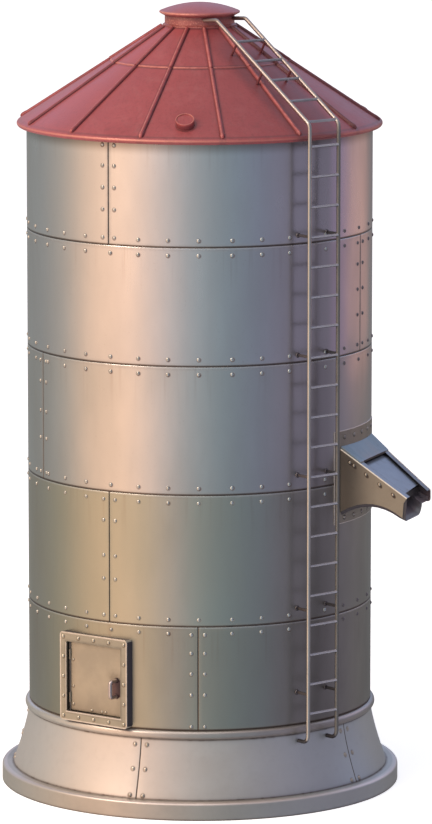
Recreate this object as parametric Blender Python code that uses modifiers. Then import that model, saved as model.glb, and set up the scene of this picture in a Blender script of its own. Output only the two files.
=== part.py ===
"""Riveted steel grain silo: five plate courses on a flared skirt, with a ribbed conical roof,
an access hatch, a discharge chute and a fixed ladder.

Metres, +Z up. The silo's axis is the Z axis and the ground is Z = 0. Azimuths are in degrees:
0 is the front (-Y), and they grow towards +X. A piece that faces outwards is modelled facing -Y
and then turned to its azimuth.
"""
import math

import bmesh
import bpy
from mathutils import Matrix, Vector

# Turned pieces share one grid of facets, so neighbours keep an even clearance.
SIDES = 64
GAP = 0.0003

# Body
WALL_R = 1.740
PLATE = 0.008
BEAD_Z = 0.803
BEAD_R = 0.045
BEAD_REACH = 1.782
BEAD_INNER_R = 1.700
COURSE_TOPS = {4: 1.895, 3: 3.213, 2: 4.493, 1: 5.669}
STRAP_HEIGHT = 0.220
EAVES_LEG = 0.050
EAVES_PLATE = 0.006
# Course, azimuth of its first vertical seam, name of the half after the seam, name of the other half
COURSES = (
    (1, -31.0, "right", "left"),
    (2, -113.2, "front", "back"),
    (3, -64.0, "front", "back"),
    (4, -31.0, "right", "left"),
    (5, -0.6, "right", "left"),
)

# Base
PLINTH_R = 2.020
PLINTH_INNER_R = 1.790
PLINTH_HEIGHT = 0.175
PLINTH_ROUND = 0.035
PLINTH_PLATE = 0.012
BASE_PLATE = 0.012
SKIRT_FOOT_R = 1.905
SKIRT_TOP_R = 1.745
SKIRT_HOLLOW = 1.35
SKIRT_SEAMS = (-19.5, 55.7, 126.9, 198.1, 269.3)

# Roof
ROOF_TAN = 0.6476
RIM_BEAD_R = 0.030
RIM_REACH = 1.838
RIM_Z = 6.720
ROOF_SHEET = 0.005
LAP_R = 0.900
LAP_WIDTH = 0.030
LAP_GAP = 0.0004
ROOF_HOLE_R = 0.330
RIB_COUNT = 14
RIB_FIRST = -18.6
RIB_R = 0.024
RIB_SUNK = 0.003
RIB_END_R = 1.775
COLLAR_R = 0.350
COLLAR_SHEET = 0.006
COLLAR_FLANGE = 0.022
COLLAR_FLANGE_THICK = 0.014
COLLAR_TOP = 7.796
CAP_R = 0.405
CAP_TOP = 7.925
CAP_EDGE_Z = 7.829
CAP_SHEET = 0.006
VENT_AZIMUTH = -5.0
VENT_DISTANCE = 1.628
VENT_R = 0.092
VENT_HEIGHT = 0.066
VENT_LIP = 0.010
VENT_SHEET = 0.005

# Hatch
HATCH_AZIMUTH = -36.5
HATCH_Z = 1.300
HATCH_FRONT = 1.785
HOLE_DEPTH = (-2.2, -1.2)
HATCH_HALF_WIDTH = 0.418
HATCH_HALF_HEIGHT = 0.4485
OPENING_HALF_WIDTH = 0.338
OPENING_HALF_HEIGHT = 0.355
DOOR_FRONT = 1.737
DOOR_THICK = 0.012
DOOR_CLEARANCE = 0.008
HINGE_X = -0.320
HINGE_DISTANCE = 1.745
PIN_R = 0.005
PIN_CLEARANCE = 0.0004
PIN_SEAT = 0.020
KNUCKLE_R = 0.011
KNUCKLE_LENGTH = 0.100
KNUCKLE_OFFSET = 0.220
HANDLE_X = 0.257
HANDLE_Z = 1.240
HANDLE_HALF_HEIGHT = 0.075
HANDLE_STANDOFF = 0.105
HANDLE_R = 0.015
HANDLE_BEND = 0.030

# Chute, measured from the silo's axis along its own azimuth
CHUTE_AZIMUTH = 68.1
CHUTE_ROOT_HALF = 0.451
CHUTE_MOUTH_HALF = 0.326
CHUTE_ROOT = 1.6805
CHUTE_MOUTH = 2.352
CHUTE_TOP_Z = 3.5755
CHUTE_MOUTH_Z = 3.089
CHUTE_FOOT_Z = 2.917
CHUTE_LIP_Z = 2.883
CHUTE_LIP_BACK = 0.044
CHUTE_ARCH = 0.468
CHEEK_PLATE = 0.010
CHEEK_NOTCH = (0.034, 0.054)
CHUTE_SHEET = 0.006
APRON_Z = 3.588
APRON_RISE = 0.012
TROUGH_SAG = 0.035
TROUGH_ROUND = 0.035
TROUGH_FAR_ROUND = 0.095
TROUGH_FAR_INSET = (0.020, 0.160)
TROUGH_LEDGE = 0.072
TROUGH_LEDGE_LIP = 0.045
TROUGH_LEG = (0.120, 0.190)
TROUGH_LIP_BACK = 0.006
TROUGH_LEAN = 0.07
COVER_DROP = 0.026
COVER_START = 0.309
COVER_END = 0.925
COVER_SKEW = 0.034
COVER_LIP = 0.058
COVER_STRIP = 0.090
FAR_TIP_RAISE = 0.067
FAR_TIP_REACH = 0.020
FAR_TIP_HEIGHT = 0.125
FAR_TIP_ROUND = 0.032
FLANGE_HALF_ANGLE = 18.1
FLANGE_BOTTOM = 2.806
FLANGE_TOP = 3.745
OUTLET_HALF_WIDTH = 0.400
OUTLET_BOTTOM = 3.040
OUTLET_TOP = 3.500

# Ladder
LADDER_AZIMUTH = 39.9
LADDER_HALF_WIDTH = 0.1875
LADDER_DISTANCE = 1.900
RAIL_R = 0.020
RUNG_R = 0.014
RUNG_TOP = 6.644
RUNG_PITCH = 0.298
RUNG_COUNT = 20
LADDER_FOOT_Z = 0.690
LADDER_EAVE_Z = 6.860
LADDER_TOP = (0.487, 7.786)
LADDER_END = (0.290, 7.768)
LADDER_SPLICE = 6.500
BEND_R = 0.080
ROOF_RUNG_DISTANCES = (1.860, 1.587, 1.306, 1.051, 0.784)
ROOF_FOOT_DISTANCES = (1.190, 0.800)
ROOF_FOOT_R = 0.012
ARM_HEIGHTS = (5.760, 4.570, 3.370, 2.030, 1.180)
ARM_DEEP = 0.030
ARM_THICK = 0.014
ARM_FOOT_R = 0.027
ARM_FOOT_THICK = 0.012

# Finish name: colour, roughness, metallic
FINISHES = {
    "steel": ((0.44, 0.41, 0.42), 0.42, 0.85),
    "aged_steel": ((0.36, 0.32, 0.28), 0.48, 0.80),
    "base_steel": ((0.50, 0.45, 0.44), 0.45, 0.80),
    "roof_paint": ((0.36, 0.09, 0.10), 0.50, 0.15),
    "ladder_steel": ((0.60, 0.54, 0.50), 0.40, 0.80),
    "inner_steel": ((0.25, 0.24, 0.24), 0.60, 0.70),
}

for old in list(bpy.data.objects):
    bpy.data.objects.remove(old)

silo = bpy.data.collections.new("grain_silo")
tools = bpy.data.collections.new("cutters")
bpy.context.scene.collection.children.link(silo)
bpy.context.scene.collection.children.link(tools)


def turned_to(azimuth, distance=0.0, height=0.0):
    """Frame that faces outwards at an azimuth: X to the right, -Y outwards, Z up."""
    spin = Matrix.Rotation(math.radians(azimuth), 4, "Z")
    return spin @ Matrix.Translation((0, -distance, height))


def finish_of(name, finish):
    colour, roughness, metallic = FINISHES[finish]
    material = bpy.data.materials.new(name)
    material.use_nodes = True
    shader = material.node_tree.nodes["Principled BSDF"]
    shader.inputs["Base Color"].default_value = (*colour, 1)
    shader.inputs["Roughness"].default_value = roughness
    shader.inputs["Metallic"].default_value = metallic
    material.diffuse_color = (*colour, 1)
    return material


def piece(name, mesh, finish, matrix=None):
    """A named part of the silo with its own material."""
    obj = bpy.data.objects.new(name, mesh)
    silo.objects.link(obj)
    obj.matrix_world = matrix or Matrix.Identity(4)
    mesh.materials.clear()
    mesh.materials.append(finish_of(name, finish))
    return obj


def tool(name, mesh, matrix=None):
    """A solid that only cuts or joins other pieces."""
    obj = bpy.data.objects.new(name, mesh)
    tools.objects.link(obj)
    obj.matrix_world = matrix or Matrix.Identity(4)
    obj.hide_render = True
    obj.display_type = "WIRE"
    return obj


def boolean(obj, operation, others):
    for other in others:
        modifier = obj.modifiers.new(other.name, "BOOLEAN")
        modifier.operation = operation
        modifier.object = other
    return obj


def cut(obj, *others):
    return boolean(obj, "DIFFERENCE", others)


def join(obj, *others):
    return boolean(obj, "UNION", others)


def box_mesh(name, low, high):
    low, high = Vector(low), Vector(high)
    mesh = bpy.data.meshes.new(name)
    shape = bmesh.new()
    place = Matrix.Translation((low + high) / 2) @ Matrix.Diagonal((*(high - low), 1))
    bmesh.ops.create_cube(shape, size=1, matrix=place)
    shape.to_mesh(mesh)
    shape.free()
    return mesh


def frustum_mesh(name, sides, r_low, r_high, low, high, x=0.0, y=0.0):
    """Upright cylinder or truncated cone with closed ends."""
    mesh = bpy.data.meshes.new(name)
    shape = bmesh.new()
    place = Matrix.Translation((x, y, (low + high) / 2))
    bmesh.ops.create_cone(shape, cap_ends=True, segments=sides, radius1=r_low, radius2=r_high,
                          depth=high - low, matrix=place)
    shape.to_mesh(mesh)
    shape.free()
    return mesh


def profile_mesh(name, outline):
    """Closed outline in the XZ plane, listed down its outer side and back up its inner side."""
    mesh = bpy.data.meshes.new(name)
    corners = [(r, 0, z) for r, z in outline]
    edges = [(i, (i + 1) % len(corners)) for i in range(len(corners))]
    if outline[0][0] == 0 and outline[-1][0] == 0:
        edges.pop()
    mesh.from_pydata(corners, edges, [])
    return mesh


def turn(obj, sides=SIDES):
    screw = obj.modifiers.new("Turned", "SCREW")
    screw.axis = "Z"
    screw.angle = 2 * math.pi
    screw.steps = sides
    screw.render_steps = sides
    screw.use_merge_vertices = True
    screw.merge_threshold = 0.00001
    return obj


def turned(name, outline, finish, matrix=None, sides=SIDES):
    return turn(piece(name, profile_mesh(name, outline), finish, matrix), sides)


def as_mesh(curve_object):
    """Turns a curve into a closed mesh in world space and removes the curve."""
    view = bpy.context.evaluated_depsgraph_get()
    mesh = bpy.data.meshes.new_from_object(curve_object.evaluated_get(view))
    shape = bmesh.new()
    shape.from_mesh(mesh)
    bmesh.ops.remove_doubles(shape, verts=shape.verts, dist=0.00001)
    bmesh.ops.transform(shape, matrix=curve_object.matrix_world, verts=shape.verts)
    shape.to_mesh(mesh)
    shape.free()
    bpy.data.objects.remove(curve_object)
    return mesh


def curve_object(name, points, closed, dimensions):
    curve = bpy.data.curves.new(name, "CURVE")
    curve.dimensions = dimensions
    spline = curve.splines.new("POLY")
    spline.points.add(len(points) - 1)
    for corner, point in zip(spline.points, points):
        corner.co = (*point, 1)
    spline.use_cyclic_u = closed
    obj = bpy.data.objects.new(name, curve)
    tools.objects.link(obj)
    return obj


def flat_mesh(name, outline, thickness, matrix):
    """Flat outline in a frame's XY plane, extruded to both sides of it."""
    obj = curve_object(name, [(x, y, 0) for x, y in outline], True, "2D")
    obj.data.fill_mode = "BOTH"
    obj.data.extrude = thickness / 2
    obj.matrix_world = matrix
    bpy.context.view_layer.update()
    return as_mesh(obj)


def tube_mesh(name, points, radius, roundness=3):
    obj = curve_object(name, points, False, "3D")
    obj.data.bevel_depth = radius
    obj.data.bevel_resolution = roundness
    obj.data.fill_mode = "FULL"
    obj.data.use_fill_caps = True
    bpy.context.view_layer.update()
    return as_mesh(obj)


def joined_mesh(name, meshes):
    shape = bmesh.new()
    for mesh in meshes:
        shape.from_mesh(mesh)
    whole = bpy.data.meshes.new(name)
    shape.to_mesh(whole)
    shape.free()
    return whole


def rounded(points, radius, steps=5):
    """Open path through points, with an arc of the radius at every inner corner."""
    path = [Vector(points[0])]
    for before, corner, after in zip(points, points[1:], points[2:]):
        corner = Vector(corner)
        back = (Vector(before) - corner).normalized()
        ahead = (Vector(after) - corner).normalized()
        half = back.angle(ahead) / 2
        reach = radius / math.tan(half)
        centre = corner + (back + ahead).normalized() * (radius / math.sin(half))
        start = corner + back * reach - centre
        turn_axis = start.cross(corner + ahead * reach - centre).normalized()
        sweep = math.pi - 2 * half
        for step in range(steps + 1):
            path.append(centre + Matrix.Rotation(sweep * step / steps, 3, turn_axis) @ start)
    path.append(Vector(points[-1]))
    return path


def arc(centre, radius, first, last, steps):
    """Points on a circle, from the first to the last angle in degrees."""
    angles = [math.radians(first + (last - first) * step / steps) for step in range(steps + 1)]
    return [(centre[0] + radius * math.cos(a), centre[1] + radius * math.sin(a)) for a in angles]


def half_space(azimuth):
    """Cuts away everything before an azimuth, with half of the clearance at a seam."""
    name = "before_%.1f" % azimuth
    if name in bpy.data.objects:
        return bpy.data.objects[name]
    return tool(name, box_mesh(name, (-4, -4, -1), (GAP / 2, 4, 9)), turned_to(azimuth))


def ring(name, inner, outer, low, high, finish):
    return turned(name, [(outer, high), (outer, low), (inner, low), (inner, high)], finish)


def skirt_radius(z):
    top = BEAD_Z - BEAD_R
    rise = (z - PLINTH_HEIGHT) / (top - PLINTH_HEIGHT)
    return SKIRT_TOP_R + (SKIRT_FOOT_R - SKIRT_TOP_R) * (1 - rise) ** SKIRT_HOLLOW


wall_inner_r = WALL_R - PLATE
skirt_low, skirt_high = PLINTH_HEIGHT + GAP, BEAD_Z - BEAD_R - GAP
skirt_heights = [skirt_high + (skirt_low - skirt_high) * step / 4 for step in range(5)]
outside_wall = tool("outside_wall", frustum_mesh(
    "outside_wall", SIDES, WALL_R + GAP, WALL_R + GAP, -0.5, 6.6))


# Base

def build_base():
    centre = (PLINTH_R - PLINTH_ROUND, PLINTH_HEIGHT - PLINTH_ROUND)
    inner_round = PLINTH_ROUND - PLINTH_PLATE
    outline = [(PLINTH_INNER_R, PLINTH_HEIGHT)]
    outline += arc(centre, PLINTH_ROUND, 90, 0, 3)
    outline += [(PLINTH_R, 0), (PLINTH_R - PLINTH_PLATE, 0)]
    outline += arc(centre, inner_round, 0, 90, 2)
    outline.append((PLINTH_INNER_R, PLINTH_HEIGHT - PLINTH_PLATE))
    turned("plinth_ring", outline, "base_steel")

    plate_r = PLINTH_R - PLINTH_PLATE - GAP
    plate = frustum_mesh("base_plate", SIDES, plate_r, plate_r, 0, BASE_PLATE)
    piece("base_plate", plate, "inner_steel")

    outline = [(skirt_radius(z), z) for z in skirt_heights]
    outline += [(skirt_radius(z) - PLATE, z) for z in reversed(skirt_heights)]
    for number, seam in enumerate(SKIRT_SEAMS, 1):
        next_seam = SKIRT_SEAMS[number % len(SKIRT_SEAMS)]
        skirt = turned("skirt_plate_%d" % number, outline, "base_steel")
        cut(skirt, half_space(seam), half_space(next_seam + 180))

    bead_centre = (BEAD_REACH - BEAD_R, BEAD_Z)
    outline = arc(bead_centre, BEAD_R, 90, -90, 6)
    outline += [(BEAD_INNER_R, BEAD_Z - BEAD_R), (BEAD_INNER_R, BEAD_Z + BEAD_R)]
    turned("base_bead_ring", outline, "base_steel")
    floor_r = BEAD_INNER_R - GAP
    floor = frustum_mesh("floor_plate", SIDES, floor_r, floor_r, BEAD_Z, BEAD_Z + PLATE)
    piece("floor_plate", floor, "inner_steel")


# Walls, straps and eaves

def build_walls():
    hatch_hole = tool("hatch_hole", box_mesh(
        "hatch_hole",
        (-OPENING_HALF_WIDTH, HOLE_DEPTH[0], HATCH_Z - OPENING_HALF_HEIGHT),
        (OPENING_HALF_WIDTH, HOLE_DEPTH[1], HATCH_Z + OPENING_HALF_HEIGHT)), turned_to(HATCH_AZIMUTH))
    outlet_hole = tool("outlet_hole", box_mesh(
        "outlet_hole",
        (-OUTLET_HALF_WIDTH, HOLE_DEPTH[0], OUTLET_BOTTOM),
        (OUTLET_HALF_WIDTH, HOLE_DEPTH[1], OUTLET_TOP)), turned_to(CHUTE_AZIMUTH))
    eaves_z = roof_z(WALL_R) - roof_rise(ROOF_SHEET) - LAP_GAP
    edges = [eaves_z + GAP, *sorted(COURSE_TOPS.values(), reverse=True), BEAD_Z + BEAD_R]
    for (course, seam, first, second), top, bottom in zip(COURSES, edges, edges[1:]):
        for side, start in ((first, seam), (second, seam + 180)):
            name = "wall_course_%d_%s" % (course, side)
            finish = "aged_steel" if course > 3 else "steel"
            sheet = ring(name, wall_inner_r, WALL_R, bottom + GAP / 2, top - GAP / 2, finish)
            cut(sheet, half_space(start))
            if name == "wall_course_5_left":
                cut(sheet, hatch_hole)
            if name in ("wall_course_3_front", "wall_course_4_right"):
                cut(sheet, outlet_hole)

    strap_outer = wall_inner_r - GAP
    for course, z in COURSE_TOPS.items():
        strap = ring("seam_strap_%d" % course, strap_outer - PLATE, strap_outer,
                     z - STRAP_HEIGHT / 2, z + STRAP_HEIGHT / 2, "inner_steel")
        if course == 3:
            cut(strap, outlet_hole)
    low = eaves_z - EAVES_LEG - EAVES_PLATE
    leg_r, web_r = strap_outer - EAVES_LEG, strap_outer - EAVES_PLATE
    outline = [(strap_outer, low + EAVES_LEG), (strap_outer, low), (leg_r, low),
               (leg_r, low + EAVES_PLATE), (web_r, low + EAVES_PLATE), (web_r, low + EAVES_LEG)]
    turned("eaves_ring", outline, "inner_steel")
    return outlet_hole


# Roof

def roof_rise(thickness):
    """Vertical measure of a thickness across the roof's slope."""
    return thickness * math.hypot(1, ROOF_TAN)


def roof_z(r):
    """Height of the lower tier's top side at a distance from the axis."""
    slope = math.atan(ROOF_TAN)
    rim_r = RIM_REACH - RIM_BEAD_R
    touch_r = rim_r + RIM_BEAD_R * math.sin(slope)
    touch_z = RIM_Z + RIM_BEAD_R * math.cos(slope)
    return touch_z + (touch_r - r) * ROOF_TAN


def upper_z(r):
    return roof_z(r) + roof_rise(ROOF_SHEET) + LAP_GAP


def rib_mesh(name, azimuth, start, end, height_at):
    """Half-round batten down the slope between two distances from the axis."""
    slope = math.atan(ROOF_TAN)
    middle = (start + end) / 2
    length = (end - start) / math.cos(slope)
    outline = [(RIB_R, -RIB_SUNK)] + arc((0, 0), RIB_R, 0, 180, 6) + [(-RIB_R, -RIB_SUNK)]
    lean = Matrix.Rotation(math.pi / 2 + slope, 4, "X")
    return flat_mesh(name, outline, length, turned_to(azimuth, middle, height_at(middle)) @ lean)


def build_roof():
    sheet = roof_rise(ROOF_SHEET)
    rim_centre = (RIM_REACH - RIM_BEAD_R, RIM_Z)
    touch = 90 - math.degrees(math.atan(ROOF_TAN))
    inner_r = RIM_REACH - 2 * RIM_BEAD_R
    outline = [(LAP_R - LAP_WIDTH, roof_z(LAP_R - LAP_WIDTH))]
    outline += arc(rim_centre, RIM_BEAD_R, touch, -150, 6)
    outline += [(inner_r - 0.004, roof_z(inner_r - 0.004) - sheet),
                (LAP_R - LAP_WIDTH, roof_z(LAP_R - LAP_WIDTH) - sheet)]
    lower = turned("roof_lower_tier", outline, "roof_paint")
    outline = [(ROOF_HOLE_R, upper_z(ROOF_HOLE_R)), (LAP_R, upper_z(LAP_R)),
               (LAP_R, upper_z(LAP_R) - sheet), (ROOF_HOLE_R, upper_z(ROOF_HOLE_R) - sheet)]
    upper = turned("roof_upper_tier", outline, "roof_paint")
    azimuths = [RIB_FIRST + 360 / RIB_COUNT * number for number in range(RIB_COUNT)]
    lower_ribs = [rib_mesh("rib", azimuth, LAP_R + 0.005, RIB_END_R, roof_z) for azimuth in azimuths]
    upper_start = COLLAR_R + COLLAR_FLANGE + 0.005
    upper_ribs = [rib_mesh("rib", azimuth, upper_start, LAP_R - 0.001, upper_z) for azimuth in azimuths]
    join(lower, tool("lower_ribs", joined_mesh("lower_ribs", lower_ribs)))
    join(upper, tool("upper_ribs", joined_mesh("upper_ribs", upper_ribs)))

    collar_inner = COLLAR_R - COLLAR_SHEET
    flange_r = COLLAR_R + COLLAR_FLANGE
    turned("roof_collar", [
        (COLLAR_R, COLLAR_TOP), (COLLAR_R, upper_z(COLLAR_R) + COLLAR_FLANGE_THICK),
        (flange_r, upper_z(flange_r) + COLLAR_FLANGE_THICK), (flange_r, upper_z(flange_r) + GAP),
        (collar_inner, upper_z(collar_inner) + GAP), (collar_inner, COLLAR_TOP)], "roof_paint")

    dome_r, dome_drop = CAP_R - 0.015, CAP_TOP - CAP_EDGE_Z - 0.017
    dome = [(dome_r * step / 5, CAP_TOP - dome_drop * (step / 5) ** 2) for step in range(6)]
    seat = COLLAR_TOP + GAP
    lining = [(max(0, r - CAP_SHEET), z - CAP_SHEET) for r, z in reversed(dome)]
    edge = [(CAP_R, CAP_EDGE_Z), (CAP_R - 0.005, CAP_EDGE_Z - 0.014)]
    foot = [(COLLAR_R + 0.004, seat), (COLLAR_R - 0.012, seat), (COLLAR_R - 0.012, seat + CAP_SHEET)]
    turned("roof_cap", dome + edge + foot + lining, "roof_paint", sides=SIDES // 2)


def build_vent():
    slope = math.atan(ROOF_TAN)
    low, top, sunk = -0.06, VENT_HEIGHT, VENT_HEIGHT - VENT_LIP
    inner_r, under = VENT_R - VENT_SHEET, sunk - VENT_SHEET
    outline = [(0, sunk), (VENT_R - VENT_LIP - 0.002, sunk), (VENT_R - VENT_LIP, top), (VENT_R, top),
               (VENT_R, low), (inner_r, low), (inner_r, under), (0, under)]
    spot = turned_to(VENT_AZIMUTH, VENT_DISTANCE, roof_z(VENT_DISTANCE))
    vent = turned("roof_vent", outline, "roof_paint", spot @ Matrix.Rotation(slope, 4, "X"), 24)
    cut(vent, roof_solid())


def roof_solid():
    """Everything under the lower tier's top side, with the clearance added."""
    name = "under_roof"
    if name in bpy.data.objects:
        return bpy.data.objects[name]
    wide, narrow = 2.4, 0.2
    low, high = roof_z(wide) + 2 * GAP, roof_z(narrow) + 2 * GAP
    return tool(name, frustum_mesh(name, SIDES, wide, narrow, low, high))


# Hatch

def build_hatch():
    place = turned_to(HATCH_AZIMUTH)
    low, high = HATCH_Z - HATCH_HALF_HEIGHT, HATCH_Z + HATCH_HALF_HEIGHT
    block = box_mesh("hatch_frame", (-HATCH_HALF_WIDTH, -HATCH_FRONT, low), (HATCH_HALF_WIDTH, -1.55, high))
    frame = piece("hatch_frame", block, "base_steel", place)
    low, high = HATCH_Z - OPENING_HALF_HEIGHT, HATCH_Z + OPENING_HALF_HEIGHT
    opening = tool("hatch_opening", box_mesh(
        "hatch_opening", (-OPENING_HALF_WIDTH, -2, low), (OPENING_HALF_WIDTH, -1.4, high)), place)
    pin_low, pin_high = low - PIN_SEAT, high + PIN_SEAT
    bore_r = (PIN_R + PIN_CLEARANCE) / math.cos(math.pi / 12)
    bore = tool("hinge_bore", frustum_mesh("hinge_bore", 12, bore_r, bore_r, pin_low - GAP, pin_high + GAP,
                                           HINGE_X, -HINGE_DISTANCE), place)
    cut(frame, opening, outside_wall, bore)
    pin = frustum_mesh("hatch_hinge_pin", 12, PIN_R, PIN_R, pin_low, pin_high, HINGE_X, -HINGE_DISTANCE)
    piece("hatch_hinge_pin", pin, "ladder_steel", place)

    half_width = OPENING_HALF_WIDTH - DOOR_CLEARANCE
    half_height = OPENING_HALF_HEIGHT - DOOR_CLEARANCE
    hinge = turned_to(HATCH_AZIMUTH) @ Matrix.Translation((HINGE_X, -HINGE_DISTANCE, HATCH_Z))
    shift = Matrix.Translation((-HINGE_X, HINGE_DISTANCE, -HATCH_Z))
    panel = box_mesh("hatch_door", (-half_width, -DOOR_FRONT, HATCH_Z - half_height),
                     (half_width, -DOOR_FRONT + DOOR_THICK, HATCH_Z + half_height))
    panel.transform(shift)
    door = piece("hatch_door", panel, "base_steel", hinge)
    for name, middle in (("upper_knuckle", KNUCKLE_OFFSET), ("lower_knuckle", -KNUCKLE_OFFSET)):
        ends = (middle - KNUCKLE_LENGTH / 2, middle + KNUCKLE_LENGTH / 2)
        join(door, tool(name, frustum_mesh(name, 12, KNUCKLE_R, KNUCKLE_R, *ends), hinge))
    cut(door, bore)

    root, grip_y = -DOOR_FRONT - GAP, -DOOR_FRONT - GAP - HANDLE_STANDOFF
    low, high = HANDLE_Z - HANDLE_HALF_HEIGHT, HANDLE_Z + HANDLE_HALF_HEIGHT
    path = [(HANDLE_X, root, high), (HANDLE_X, grip_y, high), (HANDLE_X, grip_y, low), (HANDLE_X, root, low)]
    grip = tube_mesh("hatch_handle", rounded(path, HANDLE_BEND, 4), HANDLE_R, 3)
    grip.transform(shift)
    piece("hatch_handle", grip, "ladder_steel", hinge)


# Chute

def chute_half(distance):
    share = (distance - CHUTE_ROOT) / (CHUTE_MOUTH - CHUTE_ROOT)
    return CHUTE_ROOT_HALF + (CHUTE_MOUTH_HALF - CHUTE_ROOT_HALF) * share


def chute_top(distance):
    share = (distance - CHUTE_ROOT) / (CHUTE_MOUTH - CHUTE_ROOT)
    return CHUTE_TOP_Z + (CHUTE_MOUTH_Z - CHUTE_TOP_Z) * share


def chute_low(distance):
    """Arched lower edge, from the root to the lip."""
    share = (distance - CHUTE_ROOT) / (CHUTE_MOUTH - CHUTE_LIP_BACK - CHUTE_ROOT)
    straight = CHUTE_LIP_Z - CHUTE_FOOT_Z
    return CHUTE_FOOT_Z + (straight + CHUTE_ARCH) * share - CHUTE_ARCH * share * share


def build_cheek(name, side, raised_tip):
    """Side plate of the chute. The far one ends in a raised, rounded tip."""
    taper = math.atan2(CHUTE_ROOT_HALF - CHUTE_MOUTH_HALF, CHUTE_MOUTH - CHUTE_ROOT)
    stretch = 1 / math.cos(taper)
    back = CHUTE_ROOT - 0.12
    lip = CHUTE_MOUTH - CHUTE_LIP_BACK
    lower = []
    for step in range(11):
        distance = lip + (back - lip) * step / 10
        raise_by = raised_tip * max(0, (distance - CHUTE_ROOT) / (lip - CHUTE_ROOT)) ** 2
        lower.append((distance, chute_low(distance) + raise_by))
    if raised_tip:
        tip = CHUTE_MOUTH + FAR_TIP_REACH
        corner = (tip - FAR_TIP_ROUND, chute_top(tip) - FAR_TIP_HEIGHT + FAR_TIP_ROUND)
        front = [(tip, chute_top(tip))] + arc(corner, FAR_TIP_ROUND, 0, -90, 4)
    else:
        back_by, down_by = CHEEK_NOTCH
        front = [(CHUTE_MOUTH, CHUTE_MOUTH_Z), (CHUTE_MOUTH - back_by, CHUTE_MOUTH_Z - down_by)]
    outline = [(back, chute_top(back))] + front + lower
    outline = [((distance - CHUTE_ROOT) * stretch, z) for distance, z in outline]
    inward = -side * math.sin(taper)
    along = Vector((inward, -math.cos(taper), 0))
    across = along.cross(Vector((0, 0, 1)))
    turn_in = -CHEEK_PLATE / 2 if across.x * side > 0 else CHEEK_PLATE / 2
    frame = Matrix.Identity(4)
    frame.col[0][:3] = along
    frame.col[1][:3] = (0, 0, 1)
    frame.col[2][:3] = across
    frame.col[3][:3] = Vector((side * CHUTE_ROOT_HALF, -CHUTE_ROOT, 0)) + across * turn_in
    mesh = flat_mesh(name, outline, CHEEK_PLATE, turned_to(CHUTE_AZIMUTH) @ frame)
    return piece(name, mesh, "aged_steel")


def sloping_plate(name, outline, top_drop, thickness, finish):
    """Flat plate in the chute's slope: outline as distance across and distance from the axis."""
    slope = math.atan2(CHUTE_TOP_Z - CHUTE_MOUTH_Z, CHUTE_MOUTH - CHUTE_ROOT)
    down = Vector((0, -math.cos(slope), -math.sin(slope)))
    frame = Matrix.Identity(4)
    frame.col[0][:3] = (1, 0, 0)
    frame.col[1][:3] = down
    frame.col[2][:3] = Vector((1, 0, 0)).cross(down)
    middle = frame.to_3x3().col[2] * (top_drop + thickness / 2)
    frame.col[3][:3] = Vector((0, -CHUTE_ROOT, CHUTE_TOP_Z)) + middle
    points = [(x, (distance - CHUTE_ROOT) / math.cos(slope)) for x, distance in outline]
    mesh = flat_mesh(name, points, thickness, turned_to(CHUTE_AZIMUTH) @ frame)
    return piece(name, mesh, finish)


def trough_section(distance, clearance, lean=0.0):
    """Cross-section of the trough's sheet, from its left outer edge round to its left inner edge.

    Its right side stands in from the far cheek and reaches it with a ledge. A lean sets the
    lower part back.
    """
    half = chute_half(distance) - clearance
    edge = chute_low(min(distance, CHUTE_MOUTH - CHUTE_LIP_BACK))
    floor = edge - TROUGH_SAG
    ledge = edge + TROUGH_LEDGE
    share = max(0, (distance - CHUTE_ROOT) / (CHUTE_MOUTH - CHUTE_ROOT))
    top = edge + TROUGH_LEG[0] + (TROUGH_LEG[1] - TROUGH_LEG[0]) * share ** 2
    side = half - TROUGH_FAR_INSET[0] - (TROUGH_FAR_INSET[1] - TROUGH_FAR_INSET[0]) * share
    section = []
    for inset in (0, CHUTE_SHEET):
        left = arc((-half + TROUGH_ROUND, floor + TROUGH_ROUND), TROUGH_ROUND - inset, 180, 270, 4)
        centre = (side - TROUGH_FAR_ROUND, floor + TROUGH_FAR_ROUND)
        right = arc(centre, TROUGH_FAR_ROUND - inset, 270, 360, 5)
        step = [(side - inset, ledge + inset), (half - inset, ledge + inset)]
        outline = [(-half + inset, top)] + left + right + step + [(half - inset, ledge + TROUGH_LEDGE_LIP)]
        section += outline if inset == 0 else outline[::-1]
    return [(x, lean * (top - z) - distance, z) for x, z in section]


def apron_mesh(edge, wall_r, end):
    """Wedge on the top plate, from a level line on the flange down to the cover's recess."""
    mesh = bpy.data.meshes.new("apron")
    shape = bmesh.new()
    loops = []
    side_wall = math.sqrt(wall_r ** 2 - edge(CHUTE_ROOT) ** 2)
    for step in range(-4, 5):
        x_wall, x_end = edge(side_wall + 0.003) * step / 4, edge(end) * step / 4
        wall = math.sqrt(wall_r ** 2 - x_wall ** 2)
        corners = [(x_wall, wall - 0.010, APRON_Z), (x_wall, wall, APRON_Z), (x_end, end, chute_top(end) + APRON_RISE),
                   (x_end, end, chute_top(end) - 0.007), (x_wall, wall - 0.010, chute_top(wall - 0.010) - 0.007)]
        loops.append([shape.verts.new((x, -distance, z)) for x, distance, z in corners])
    for loop, next_loop in zip(loops, loops[1:]):
        for i in range(5):
            shape.faces.new((loop[i], loop[(i + 1) % 5], next_loop[(i + 1) % 5], next_loop[i]))
    shape.faces.new(loops[0])
    shape.faces.new(loops[-1])
    bmesh.ops.recalc_face_normals(shape, faces=shape.faces)
    shape.to_mesh(mesh)
    shape.free()
    return mesh


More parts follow.
